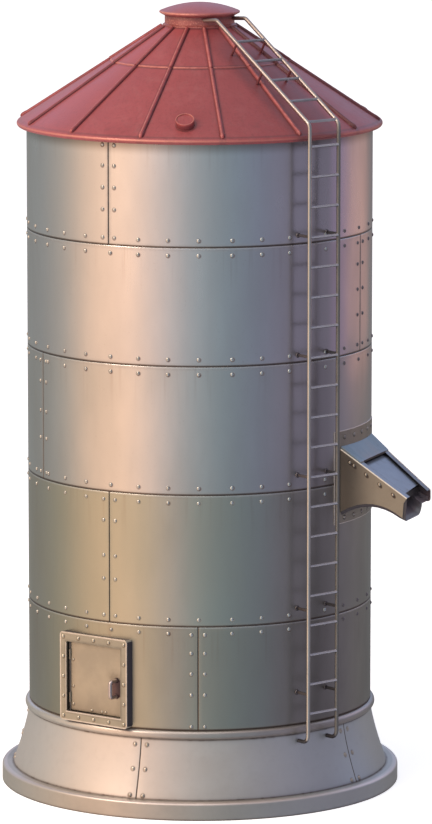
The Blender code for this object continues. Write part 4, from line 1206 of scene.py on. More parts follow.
def band_steel():
    """The chute's band on the wall, with dirt and painted shadow round its bolts, and a rim worn bare
    and painted lit.
    """
    steel = ChuteSteel("chute_band")
    f = steel.f
    metres = math.radians(WALL_R)
    middle, half = (FLANGE_TOP + FLANGE_BOTTOM) / 2, (FLANGE_TOP - FLANGE_BOTTOM) / 2
    turn = f.azimuth() - CHUTE_AZIMUTH
    # Painted shadow, with dirt, below and to the right of each bolt
    columns = f.nearest(turn - 0.15, BAND_TURNS) * metres
    heads = f.hypotenuse(columns, f.nearest(f.z + 0.004, BAND_HEIGHTS))
    steel.coat(heads.under(0.018, 0.030) * 0.85, BAND_HALO)
    # Rim worn bare, partly a painted highlight
    rim = (half - abs(f.z - middle)).least((FLANGE_HALF_ANGLE - abs(turn)) * metres)
    steel.coat(rim.under(0.004, 0.010) * 0.7, BARE_AND_HIGHLIGHT)
    return steel.done()


def rivet_steel(name, right=None):
    """Heads of the fixings, each a little brighter than the next. right is their painted shaded tone
    there.
    """
    tone, dull, roughness = LOOKS[name]
    f = Finish(name)
    settings = {"attribute_name": "tone", "attribute_type": "GEOMETRY"}
    own = f.node("ShaderNodeAttribute", settings, out="Fac")
    specks = f.noise(90.0, 2).over(0.45, 0.75)
    colour = f.mix(own, dull, tone)
    if right:
        azimuth = f.azimuth()
        # Painted shade on the heads at the right and further round
        colour = f.mix(azimuth.between(-20, 10, *BEHIND) * 0.8, colour, right)
        colour = f.mix(azimuth.between(*FAR_RIGHT, *BEHIND) * 0.8, colour, RIVET_FAR_RIGHT)
    colour = f.mix(specks * 0.25, colour, RUST)
    normal = f.bump(f.noise(200.0, 2), 0.0003, 0.3)
    return f.done(colour, roughness + 0.12 * specks, 0.88, normal)


def inner_steel():
    """Plain dull steel of the pieces inside."""
    tone, worn_tone, roughness = LOOKS["inner_steel"]
    f = Finish("inner_steel")
    blotch = f.noise(3.0, 4).over(0.3, 0.7)
    colour = f.mix(blotch, tone, worn_tone)
    normal = f.bump(f.noise(90.0, 2), 0.0006, 0.4)
    return f.done(colour, roughness + 0.12 * blotch, 0.75, normal)


# Repeated pieces, made by node trees

def new_tree(name, inputs):
    """Geometry node tree with named inputs: name, kind and starting value."""
    tree = bpy.data.node_groups.new(name, "GeometryNodeTree")
    tree.interface.new_socket(name="Geometry", in_out="INPUT", socket_type="NodeSocketGeometry")
    for label, kind, value in inputs:
        socket = tree.interface.new_socket(name=label, in_out="INPUT", socket_type="NodeSocket" + kind)
        if value is not None:
            socket.default_value = value
    tree.interface.new_socket(name="Geometry", in_out="OUTPUT", socket_type="NodeSocketGeometry")
    recipe = Recipe(tree)
    given = recipe.node("NodeGroupInput")
    return tree, recipe, given


def end_tree(recipe, instances, finish):
    """Makes the instances real, gives them their finish and ends the tree."""
    real = recipe.node("GeometryNodeRealizeInstances", None, {0: instances})
    coated = recipe.node("GeometryNodeSetMaterial", None, {"Geometry": real, "Material": finish})
    recipe.node("NodeGroupOutput", None, {0: coated})


def fixings_tree():
    """A head on each point, standing along the point's own "out" direction."""
    tree, r, given = new_tree("fixings", (
        ("Head", "Object", None), ("Diameter", "Float", RIVET_WIDE), ("Height", "Float", RIVET_HIGH),
        ("Variation", "Float", RIVET_VARIATION), ("Seed", "Int", 1), ("Finish", "Material", None)))
    head = r.node("GeometryNodeObjectInfo", None, {"Object": given.beside("Head")}, out="Geometry")
    vector, number = {"data_type": "FLOAT_VECTOR"}, {"data_type": "FLOAT"}
    out = r.node("GeometryNodeInputNamedAttribute", vector, {"Name": "out"})
    stand = r.node("FunctionNodeAlignRotationToVector", {"axis": "Z"}, {"Vector": out})
    seed = given.beside("Seed")
    spread = r.node("FunctionNodeRandomValue", number, {2: -1.0, 3: 1.0, "Seed": seed}, 1)
    grow = 1 + spread * given.beside("Variation")
    wide, high = grow * given.beside("Diameter"), grow * given.beside("Height")
    size = r.node("ShaderNodeCombineXYZ", None, {0: wide, 1: wide, 2: high})
    points = given.beside("Geometry")
    sockets = {"Points": points, "Instance": head, "Rotation": stand, "Scale": size}
    heads = r.node("GeometryNodeInstanceOnPoints", None, sockets)
    tone = r.node("FunctionNodeRandomValue", number, {"Seed": seed + 7}, 1)
    sockets = {"Geometry": heads, "Name": "tone", "Value": tone}
    each = {"data_type": "FLOAT", "domain": "INSTANCE"}
    end_tree(r, r.node("GeometryNodeStoreNamedAttribute", each, sockets), given.beside("Finish"))
    return tree


def ribs_tree():
    """One rib, repeated round the roof at even turns."""
    tree, r, given = new_tree("roof_ribs", (
        ("Rib", "Object", None), ("Count", "Int", RIB_COUNT), ("First", "Float", RIB_FIRST),
        ("Finish", "Material", None)))
    rib = r.node("GeometryNodeObjectInfo", None, {"Object": given.beside("Rib")}, out="Geometry")
    spots = r.node("GeometryNodePoints", None, {"Count": given.beside("Count")})
    number = r.node("GeometryNodeInputIndex")
    turn = (given.beside("First") + number * 360 / given.beside("Count")) * math.radians(1)
    angles = r.node("ShaderNodeCombineXYZ", None, {2: turn})
    rotation = r.node("FunctionNodeEulerToRotation", None, {0: angles})
    sockets = {"Points": spots, "Instance": rib, "Rotation": rotation}
    ribs = r.node("GeometryNodeInstanceOnPoints", None, sockets)
    end_tree(r, ribs, given.beside("Finish"))
    return tree


def rungs_tree():
    """One rung on each given point, all level and all square to the ladder."""
    tree, r, given = new_tree("ladder_rungs", (("Rung", "Object", None), ("Finish", "Material", None)))
    rung = r.node("GeometryNodeObjectInfo", None, {"Object": given.beside("Rung")}, out="Geometry")
    sockets = {"Points": given.beside("Geometry"), "Instance": rung}
    rungs = r.node("GeometryNodeInstanceOnPoints", None, sockets)
    end_tree(r, rungs, given.beside("Finish"))
    return tree


def grown(name, points, tree, values, directions=None):
    """A plain mesh from a tree that grows on the given points."""
    mesh = bpy.data.meshes.new(name)
    mesh.from_pydata(points, [], [])
    if directions:
        attribute = mesh.attributes.new("out", "FLOAT_VECTOR", "POINT")
        for item, direction in zip(attribute.data, directions):
            item.vector = direction
    obj = linked(name, mesh)
    modifier = obj.modifiers.new(tree.name, "NODES")
    modifier.node_group = tree
    inputs = [item for item in tree.interface.items_tree if item.in_out == "INPUT"]
    sockets = {item.name: item.identifier for item in inputs}
    for label, value in values.items():
        modifier[sockets[label]] = value
    as_made(obj)
    obj.data.shade_smooth()
    obj.data.set_sharp_from_angle(angle=math.radians(ROUND_ANGLE))
    return obj


def dome_head(sides=12):
    """Rivet head, one across and one high, with its foot a little sunk."""
    outline = [(0.50, -0.12), (0.50, 0.05), (0.47, 0.34), (0.38, 0.64), (0.22, 0.89)]
    angles = [math.tau * number / sides for number in range(sides)]
    points = [(r * math.cos(a), r * math.sin(a), z) for r, z in outline for a in angles]
    points.append((0, 0, 1))
    last = (len(outline) - 1) * sides
    faces = [tuple(range(sides))]
    for here in range(0, last, sides):
        faces += quads(here, here + sides, sides)
    faces += [(last + i, last + (i + 1) % sides, len(points) - 1) for i in range(sides)]
    return linked("dome_head", mesh_from("dome_head", points, faces, 60))


# Base

def sheet_turns(sweep, radius, step, gap):
    """Degrees across a sheet: close together on its rolled edges, and even between them."""
    ends = [share * LIP_REACH / math.radians(radius) for share in LIP_STEPS]
    flat, count = sweep - 2 * ends[-1], round(sweep / step)
    middle = [ends[-1] + flat * number / count for number in range(1, count)]
    turns = ends + middle + [sweep - turn for turn in reversed(ends)]
    return [min(max(turn, gap), sweep - gap) for turn in turns]


def edge_fall(distance):
    """How far a rolled edge falls back, at a distance from the sheet's edge."""
    share = max(0.0, 1 - distance / LIP_REACH)
    return LIP_DEPTH * (1 - math.sqrt(max(0.0, 1 - share * share)))


def skirt_sheet(name, start, sweep):
    """Flared sheet between two upright seams, with rolled upright edges."""
    low, high = PLINTH_HEIGHT + GAP, BEAD_Z - BEAD_R - GAP
    heights = [high + (low - high) * row / SKIRT_ROWS for row in range(SKIRT_ROWS + 1)]
    rings = []
    for turn in sheet_turns(sweep, SKIRT_FOOT_R, SKIRT_STEP, SKIRT_SEAM_TURN):
        fall = edge_fall(math.radians(min(turn, sweep - turn)) * SKIRT_FOOT_R)
        outer = [polar(start + turn, skirt_radius(z) - fall, z) for z in heights]
        inner = [polar(start + turn, skirt_radius(z) - PLATE, z) for z in reversed(heights)]
        rings.append(outer + inner)
    return lofted(name, rings)


def plinth_mesh():
    """Folded shoe: a level top that joins the skirt, a rounded edge and an upright side."""
    top, toe = PLINTH_HEIGHT, 0.004
    outer = arc((PLINTH_R - LIP_ROUND, top - LIP_ROUND), LIP_ROUND, 90, 0, 8)
    outer += [(PLINTH_R, toe), (PLINTH_R - toe, 0)]
    inner = [(PLINTH_R - PLINTH_PLATE, 0)] + arc((PLINTH_R - 0.035, top - 0.035), 0.023, 0, 90, 4)
    outline = [(PLINTH_INNER_R, top)] + outer + inner + [(PLINTH_INNER_R, top - PLINTH_PLATE)]
    return turned("plinth_lip", outline)


def bead_mesh():
    """Half-round bead, closed by a flat band at its back."""
    outline = arc((BEAD_REACH - BEAD_R, BEAD_Z), BEAD_R, 90, -90, 20)
    outline += [(BEAD_INNER_R, BEAD_Z - BEAD_R), (BEAD_INNER_R, BEAD_Z + BEAD_R)]
    return turned("base_bead", outline)


def build_base():
    plain = base_steel("plinth_steel", 0.85, edges=(0.0,), right=PLINTH_SHADED_RIGHT)
    bead_finish = base_steel("bead_steel", 0.85)
    skirt_finish = base_steel("skirt_steel", 0.75, edges=(PLINTH_HEIGHT, BEAD_Z - BEAD_R),
                              seams=SKIRT_SEAMS, right=SKIRT_SHADED_RIGHT)
    finished(linked("plinth_lip", plinth_mesh()), plain, nodes=["plinth_ring"])
    finished(linked("base_bead", bead_mesh()), bead_finish, nodes=["base_bead_ring"])
    following = SKIRT_SEAMS[1:] + SKIRT_SEAMS[:1]
    for number, (seam, end) in enumerate(zip(SKIRT_SEAMS, following), 1):
        name = "skirt_sheet_%d" % number
        sheet = skirt_sheet(name, seam, (end - seam) % 360)
        finished(linked(name, sheet), skirt_finish, nodes=["skirt_plate_%d" % number])


# Walls

def wall_sheet(name, low, high, start):
    """Half a course of the wall, with all four edges rolled back a little."""
    sweep, span = 180, high - low
    rises = [share * LIP_REACH for share in LIP_STEPS]
    levels = rises + [span / 4, span / 2, span * 3 / 4] + [span - rise for rise in reversed(rises)]
    levels = [min(max(level, GAP / 2), span - GAP / 2) for level in levels]
    inner = [(WALL_R - PLATE, level) for level in (levels[-1], levels[0])]
    rings = []
    for turn in sheet_turns(sweep, WALL_R, SHEET_STEP, SHEET_SEAM_TURN):
        side = edge_fall(min(turn, sweep - turn) * math.radians(WALL_R))
        falls = [max(side, edge_fall(min(level, span - level))) for level in levels]
        outer = [(WALL_R - fall, level) for fall, level in zip(falls, levels)]
        rings.append([polar(start + turn, distance, low + level) for distance, level in outer + inner])
    return linked(name, lofted(name, rings, 40))


def opening(azimuth, half_width, low, high):
    """Block that cuts an opening through the wall."""
    block = box_mesh("opening", (-half_width, -CUT_OUTER, low), (half_width, -CUT_INNER, high))
    block.transform(turned_to(azimuth))
    return block


def build_walls():
    hatch_low, hatch_high = HATCH_Z - OPENING_HALF_HEIGHT, HATCH_Z + OPENING_HALF_HEIGHT
    for course, (halves, seam, _) in COURSES.items():
        nodes = ["wall_course_%d_%s" % (course, half) for half in halves]
        low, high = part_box(nodes[0])[0].z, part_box(nodes[0])[1].z
        finish = wall_steel(course, low, high)
        for node, start in zip(nodes, (seam, seam + 180)):
            sheet = wall_sheet(node.replace("wall_course", "wall_sheet"), low, high, start)
            if node == "wall_course_5_left":
                less(sheet, opening(HATCH_AZIMUTH, OPENING_HALF_WIDTH, hatch_low, hatch_high))
            if node in ("wall_course_3_front", "wall_course_4_right"):
                less(sheet, opening(CHUTE_AZIMUTH, OUTLET_HALF_WIDTH, OUTLET_BOTTOM, OUTLET_TOP))
            finished(sheet, finish, nodes=[node])


# Roof

def rib_mesh(name, start, end, height_at, knob):
    """Half-round batten down the slope at azimuth 0. A knob closes its lower end."""
    half_round = arc((0, 0), 1.0, 180, 0, 10)
    outline = [(-1.0, -RIB_SUNK)] + half_round + [(1.0, -RIB_SUNK)]
    places = [(start, 0.96), (start + 0.004, 1.0)]
    if knob:
        places += [(end - back, scale) for back, scale in RIB_KNOB]
    else:
        places += [(end - 0.004, 1.0), (end, 0.92)]
    across = Vector((1, 0, 0))
    normal = Vector((0, -math.sin(ROOF_SLOPE), math.cos(ROOF_SLOPE)))
    rings = []
    for distance, scale in places:
        spot = Vector((0, -distance, height_at(distance)))
        size = RIB_R * scale
        rings.append([spot + across * x * size + normal * z * size for x, z in outline])
    return linked(name, lofted(name, rings, ROUND_ANGLE))


def lower_cone():
    """Lower sheet cone, from under the lap down to the rolled rim."""
    sheet = roof_rise(ROOF_SHEET)
    touch = 90 - math.degrees(ROOF_SLOPE)
    top_r, foot_r = LAP_R - LAP_WIDTH, RIM_REACH - 2 * RIM_BEAD_R - 0.004
    outline = [(r, roof_z(r)) for r in (top_r, 1.1, 1.3, 1.5, 1.7)]
    outline += arc((RIM_R, RIM_Z), RIM_BEAD_R, touch, -150, 16)
    outline += [(foot_r, roof_z(foot_r) - sheet), (top_r, roof_z(top_r) - sheet)]
    return turned("roof_lower_cone", outline, sharp=28)


def upper_cone():
    """Upper sheet cone, with a softened edge where it laps the lower one."""
    sheet = roof_rise(ROOF_SHEET)
    top, edge_r, near_r = upper_z(ROOF_HOLE_R), LAP_R, LAP_R - 0.02
    lap = [(near_r, upper_z(near_r)), (edge_r, upper_z(edge_r)), (edge_r, upper_z(edge_r) - sheet),
           (near_r, upper_z(near_r) - sheet)]
    outline = [(ROOF_HOLE_R, top), (0.6, upper_z(0.6))] + eased(lap, 0.0024, 3, closed=False)
    return turned("roof_upper_cone", outline + [(ROOF_HOLE_R, top - sheet)], sharp=28)


def collar_mesh():
    """Upright collar on a flange that lies on the upper cone."""
    inner, flange_r = COLLAR_R - COLLAR_SHEET, COLLAR_R + COLLAR_FLANGE
    corners = [(inner, COLLAR_TOP), (COLLAR_R, COLLAR_TOP),
               (COLLAR_R, upper_z(COLLAR_R) + COLLAR_FLANGE_THICK),
               (flange_r, upper_z(flange_r) + COLLAR_FLANGE_THICK),
               (flange_r, upper_z(flange_r) + GAP), (inner, upper_z(inner) + GAP)]
    return turned("collar", eased(corners, 0.003, 3), steps=96)


def build_roof():
    sheet_finish = roof_paint("roof_paint", LAP_R - 0.006)
    collar_finish = roof_paint("collar_paint")
    cap_finish = roof_paint("cap_paint", CAP_R - 0.004)
    vent_finish = roof_paint("vent_paint")
    ribs_finish = rib_paint()
    cones = (("roof_lower_cone", lower_cone(), "roof_lower_tier"),
             ("roof_upper_cone", upper_cone(), "roof_upper_tier"))
    for name, mesh, node in cones:
        finished(linked(name, mesh), sheet_finish, nodes=[node])

    tree = ribs_tree()
    top_r = COLLAR_R + COLLAR_FLANGE + 0.005
    rows = (("lower_ribs", LAP_R + 0.005, RIB_END_R, roof_z, True),
            ("upper_ribs", top_r, LAP_R + 0.0045, upper_z, False))
    for name, start, end, height_at, knob in rows:
        rib = rib_mesh("rib", start, end, height_at, knob)
        values = {"Rib": rib, "Count": RIB_COUNT, "First": RIB_FIRST, "Finish": ribs_finish}
        ribs = grown(name, [(0, 0, 0)], tree, values)
        bpy.data.objects.remove(rib)
        finished(ribs, ribs_finish)

    finished(linked("collar", collar_mesh()), collar_finish, nodes=["roof_collar"])
    finished(linked("cap", cap_mesh()), cap_finish, nodes=["roof_cap"])
    finished(vent_piece(), vent_finish, nodes=["roof_vent"])


def cap_mesh():
    """Lens-shaped cap with a rounded edge that stands over the collar."""
    dome_r, dome_drop = CAP_R - 0.015, CAP_TOP - CAP_EDGE_Z - 0.017
    shares = [step / 12 for step in range(13)]
    dome = [(dome_r * share, CAP_TOP - dome_drop * share ** 2) for share in shares]
    edge = arc((CAP_R - CAP_EDGE_R, CAP_EDGE_Z + 0.002), CAP_EDGE_R, 55, -60, 7)
    seat, seat_r = COLLAR_TOP + GAP, COLLAR_R - 0.012
    foot = [(COLLAR_R + 0.004, seat), (seat_r, seat), (seat_r, seat + CAP_SHEET)]
    lining = [(max(0, r - CAP_SHEET), z - CAP_SHEET) for r, z in reversed(dome)]
    return turned("cap", dome + edge + foot + lining, steps=96)


def vent_piece():
    """Short round vent, square to the roof, with a raised rim."""
    low, top, sunk = -0.06, VENT_HEIGHT, VENT_HEIGHT - VENT_LIP
    rim_r, inner_r, under = VENT_R - VENT_LIP, VENT_R - VENT_SHEET, sunk - VENT_SHEET
    shell = [(rim_r - 0.002, sunk), (rim_r, top), (VENT_R, top), (VENT_R, low), (inner_r, low),
             (inner_r, under)]
    outline = [(0, sunk)] + eased(shell, 0.003, 3, closed=False) + [(0, under)]
    mesh = turned("vent", outline, steps=48)
    spot = turned_to(VENT_AZIMUTH, VENT_DISTANCE, roof_z(VENT_DISTANCE))
    mesh.transform(spot @ Matrix.Rotation(ROOF_SLOPE, 4, "X"))
    wide, deep = 2.2, 6.2
    below = turned("below", [(0, deep), (wide, deep), (wide, roof_z(wide)), (0, roof_z(0))], steps=90)
    return less(linked("vent", mesh), below)


# Ladder

def ladder_point(x, distance, z):
    return turned_to(LADDER_AZIMUTH) @ Vector((x, -distance, z))


def rail_paths(corners):
    """Both rails along corners of distance and height."""
    return [rounded([ladder_point(x, distance, z) for distance, z in corners], BEND_R)
            for x in LADDER_SIDES]


def wall_rails():
    """Rails from the skirt up to the splice. Their feet end on the flared skirt."""
    corners = [(WALL_R + 0.02, LADDER_FOOT_Z), (LADDER_DISTANCE, LADDER_FOOT_Z),
               (LADDER_DISTANCE, LADDER_SPLICE - GAP)]
    foot_r = skirt_radius(LADDER_FOOT_Z) + 0.0005
    return [[ladder_point(x, foot_r, LADDER_FOOT_Z)] + path[1:]
            for x, path in zip(LADDER_SIDES, rail_paths(corners))]


def roof_rails():
    """Rails from the splice over the eave and up to the collar, which they touch."""
    corners = [(LADDER_DISTANCE, LADDER_SPLICE), (LADDER_DISTANCE, LADDER_EAVE_Z), LADDER_TOP,
               LADDER_END]
    end_z = LADDER_END[1] + 0.004
    ends = [ladder_point(x, math.sqrt((COLLAR_R + 0.001) ** 2 - x * x), end_z) for x in LADDER_SIDES]
    return [path[:-1] + [end] for path, end in zip(rail_paths(corners), ends)]


def build_ladder():
    rails_finish = bar_steel("rail_steel", 0.12)
    rungs_finish = bar_steel("rung_steel", 0.15, metallic=0.30)
    arm_finish = bar_steel("arm_steel", 0.10)
    foot_finish = bar_steel("roof_foot_steel", 0.05, metallic=0.2)
    for name, paths, node in (("wall_rails", wall_rails(), "ladder_wall_flight"),
                              ("roof_rails", roof_rails(), "ladder_roof_flight")):
        mesh = joined(name, [tube(name, path, RAIL_R, 20) for path in paths])
        finished(linked(name, mesh), rails_finish, nodes=[node])

    tree = rungs_tree()
    rung = linked("rung", rung_mesh())
    heights = [RUNG_TOP - RUNG_PITCH * number for number in range(RUNG_COUNT)]
    wall_spots = [(LADDER_DISTANCE, z) for z in heights if z < LADDER_SPLICE]
    roof_spots = [(LADDER_DISTANCE, z) for z in heights if z > LADDER_SPLICE]
    roof_spots += [(distance, slope_z(distance)) for distance in ROOF_RUNG_DISTANCES]
    for name, spots in (("wall_rungs", wall_spots), ("roof_rungs", roof_spots)):
        points = [ladder_point(0, distance, z) for distance, z in spots]
        rungs = grown(name, points, tree, {"Rung": rung, "Finish": rungs_finish})
        finished(rungs, rungs_finish)
    bpy.data.objects.remove(rung)

    feet = [tube("foot", roof_foot(x, distance), ROOF_FOOT_R, 12)
            for x in LADDER_SIDES for distance in ROOF_FOOT_DISTANCES]
    finished(linked("roof_feet", joined("roof_feet", feet)), foot_finish)
    spots = [(x, z) for x in LADDER_SIDES for z in ARM_HEIGHTS]
    meshes = [make(x, z) for x, z in spots for make in (arm_mesh, arm_foot_mesh)]
    places = [turned_to(LADDER_AZIMUTH)] * len(meshes)
    finished(linked("ladder_arms", joined("ladder_arms", meshes, places)), arm_finish)


def rung_mesh():
    """Rung with a small weld collar against each rail, lying level at the silo's axis."""
    half, collar = LADDER_HALF_WIDTH - RAIL_R * 0.6, LADDER_HALF_WIDTH - RAIL_R
    stations = [(-half, 1.32), (-collar - 0.001, 1.30), (-collar + 0.005, 1.10), (-collar + 0.009, 1.0)]
    stations += [(-x, scale) for x, scale in reversed(stations)]
    path = [ladder_point(x, 0, 0) for x, _ in stations]
    return tube("rung", path, RUNG_R, 14, [scale for _, scale in stations])


def roof_foot(x, distance):
    """Path of a foot, square to the roof, from a rail down to the sheet."""
    rail_z = slope_z(distance)
    height_at = upper_z if distance < LAP_R else roof_z
    drop = (rail_z - height_at(math.hypot(x, distance))) * math.cos(ROOF_SLOPE) - LAP_GAP
    end = (distance - drop * math.sin(ROOF_SLOPE), rail_z - drop * math.cos(ROOF_SLOPE))
    return [ladder_point(x, distance, rail_z), ladder_point(x, *end)]


def arm_mesh(x, z):
    """Flat stand-off bar from a rail to the wall."""
    wall = math.sqrt(WALL_R ** 2 - x ** 2)
    low = (x - ARM_THICK / 2, -LADDER_DISTANCE, z - ARM_DEEP / 2)
    high = (x + ARM_THICK / 2, -wall - 0.004, z + ARM_DEEP / 2)
    bar = linked("arm", box_mesh("arm", low, high))
    mesh = edges_rounded(bar, 0.003).data
    bpy.data.objects.remove(bar)
    return mesh


def arm_foot_mesh(x, z):
    """Round foot that an arm stands on, flat on the wall."""
    wall = math.sqrt((WALL_R + 0.0005) ** 2 - x ** 2)
    lean = math.asin(x / WALL_R)
    top, sunk, hub = ARM_FOOT_THICK, -0.0015, 0.010
    corners = [(hub, top), (ARM_FOOT_R * 0.85, top), (ARM_FOOT_R, 0.004), (ARM_FOOT_R, sunk),
               (hub, sunk)]
    outline = [(0, top)] + eased(corners, 0.003, 2, closed=False) + [(0, sunk)]
    mesh = turned("arm_foot", outline, steps=24)
    mesh.transform(Matrix.Translation((x, -wall, z)) @ Matrix.Rotation(lean, 4, "Z") @ FACING_OUT)
    return mesh


# Hatch

def rounded_block(name, half_width, half_height, radius, front, back):
    """Upright block with rounded corners, in the hatch's place, between two distances."""
    corners = ((half_width, half_height, 0), (-half_width, half_height, 90),
               (-half_width, -half_height, 180), (half_width, -half_height, 270))
    outline = []
    for x, z, first in corners:
        centre = (x - math.copysign(radius, x), z - math.copysign(radius, z))
        outline += arc(centre, radius, first, first + 90, 5)
    rings = [[(x, -distance, HATCH_Z + z) for x, z in outline] for distance in (front, back)]
    mesh = lofted(name, rings)
    mesh.transform(turned_to(HATCH_AZIMUTH))
    return mesh


def hatch_surround():
    """Deep frame round the opening, shaped to the wall behind and bored for the hinge pin."""
    block = rounded_block("hatch_surround", HATCH_HALF_WIDTH, HATCH_HALF_HEIGHT, HATCH_CORNER,
                          HATCH_FRONT, HATCH_BLOCK_BACK)
    hole = rounded_block("hole", OPENING_HALF_WIDTH, OPENING_HALF_HEIGHT, OPENING_CORNER,
                         HATCH_HOLE_FRONT, HATCH_HOLE_BACK)
    reach = OPENING_HALF_HEIGHT + PIN_SEAT
    low, high = HATCH_Z - reach, HATCH_Z + reach
    bore = turned("bore", [(0, low), (PIN_BORE, low), (PIN_BORE, high), (0, high)], steps=16)
    bore.transform(turned_to(HATCH_AZIMUTH) @ Matrix.Translation((HINGE_X, -HINGE_DISTANCE, 0)))
    wall_r = WALL_R + 0.0008
    foot, head = 0.5, 2.2
    wall = turned("wall", [(0, foot), (wall_r, foot), (wall_r, head), (0, head)], steps=288)
    surround = less(linked("hatch_surround", block), hole, wall, bore)
    return edges_rounded(surround, 0.010, 3, 60)


def handle_plate(low, high, root):
    """Worn plate behind the handle, with a round rose at each of the handle's roots."""
    face = root + 0.004
    plate = linked("plate", box_mesh("plate", (HANDLE_X - 0.050, -face, low - 0.006),
                                     (HANDLE_X + 0.046, -root, high + 0.006)))
    meshes = []
    for z in (low, high):
        outline = [(0, 0.012), (0.022, 0.012), (0.027, 0.006), (0.028, 0.0), (0, 0.0)]
        rose = turned("rose", outline, steps=24)
        rose.transform(Matrix.Translation((HANDLE_X, -face, z)) @ FACING_OUT)
        meshes.append(rose)
    meshes.append(edges_rounded(plate, 0.0015).data)
    bpy.data.objects.remove(plate)
    places = [turned_to(HATCH_AZIMUTH)] * len(meshes)
    return linked("handle_plate", joined("handle_plate", meshes, places))


def build_hatch():
    finished(hatch_surround(), hatch_steel("hatch_frame_steel"), nodes=["hatch_frame"])
    door = worked_copy("hatch_leaf", "hatch_door", 0.0035, 3)
    finished(door, hatch_steel("hatch_door_steel"), "hatch_leaf", ["hatch_door"])
    root = DOOR_FRONT + GAP
    tip = root + HANDLE_STANDOFF
    low, high = HANDLE_Z - HANDLE_HALF_HEIGHT, HANDLE_Z + HANDLE_HALF_HEIGHT
    place = turned_to(HATCH_AZIMUTH)
    corners = [place @ Vector((HANDLE_X, -distance, z))
               for distance, z in ((root, high), (tip, high), (tip, low), (root, low))]
    handle = linked("handle", tube("handle", rounded(corners, HANDLE_BEND), HANDLE_R, 24))
    finished(handle, bar_steel("grip_steel", 0.20), "hatch_leaf", ["hatch_handle"])
    worn_finish = bar_steel("worn_steel", 0.40, metallic=0.6)
    finished(handle_plate(low, high, root), worn_finish, "hatch_leaf")


# Chute

def build_chute():
    cheek = cheek_steel()
    pieces = (("near_cheek", "chute_near_cheek", 0.0032, cheek),
              ("far_cheek", "chute_far_cheek", 0.0032, cheek),
              ("chute_lid_plate", "chute_top_plate", 0.0018, top_steel()),
              ("chute_inner_lid", "chute_cover", 0.0015, lid_steel()),
              ("chute_channel", "chute_trough", 0.0022, trough_steel()),
              ("chute_band", "chute_flange", 0.0028, band_steel()))
    for name, node, reach, finish in pieces:
        finished(worked_copy(name, node, reach), finish, nodes=[node])


# Fixings

def turn_between(azimuth, other):
    """Degrees between two azimuths, the short way round."""
    return abs((azimuth - other + 180) % 360 - 180)


def wall_rivets():
    """Places of the rivets beside the level and upright seams."""
    spots = []
    turns = [turn + own for first, last, own in ROW_STARTS for turn in range(-180, 180, ROW_STEP)
             if first <= turn + own < last]
    offset = math.degrees(SEAM_OFFSET / WALL_R)
    for course, (halves, first_seam, heights) in COURSES.items():
        node = "wall_course_%d_%s" % (course, halves[0])
        low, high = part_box(node)[0].z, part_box(node)[1].z
        rows = [low + ROW_OFFSET] if course != LOW_COURSE else []
        rows += [high - upper_row(course)] if course != TOP_COURSE else []
        seams = (first_seam, first_seam + 180)
        for z in rows:
            for azimuth in turns:
                gap = min(turn_between(azimuth, seam) for seam in seams)
                if gap > math.degrees(ROW_STOPS / WALL_R):
                    spots.append((azimuth, z))
        for seam in seams:
            spots += [(seam + side * offset, z) for z in heights for side in (-1, 1)]
    return spots


def clear_of_pieces(azimuth, z):
    """False where the chute's band or the hatch covers a rivet."""
    near_chute = turn_between(azimuth, CHUTE_AZIMUTH) < FLANGE_HALF_ANGLE + 0.8
    if near_chute and FLANGE_BOTTOM - 0.03 < z < FLANGE_TOP + 0.03:
        return False
    near_hatch = turn_between(azimuth, HATCH_AZIMUTH) < 15
    return not (near_hatch and z < HATCH_Z + HATCH_HALF_HEIGHT + 0.03)


def skirt_spots():
    """Rivets beside the skirt's seams, leaning with the flare."""
    spots = []
    for seam in SKIRT_SEAMS:
        for z in SKIRT_RIVETS:
            lean = math.atan2(skirt_radius(z - 0.02) - skirt_radius(z + 0.02), 0.04)
            for side in (-1, 1):
                azimuth = seam + side * SKIRT_OFFSET
                out = outwards(azimuth) * math.cos(lean) + Vector((0, 0, math.sin(lean)))
                spots.append((polar(azimuth, skirt_radius(z) - SUNK, z), out))
    return spots


def hatch_spots(places, front):
    """Rivets on a flat face of the hatch, from their places across and up from its middle."""
    turn, out = turned_to(HATCH_AZIMUTH), outwards(HATCH_AZIMUTH)
    return [(turn @ Vector((x, -front + SUNK, HATCH_Z + z)), out) for x, z in places]


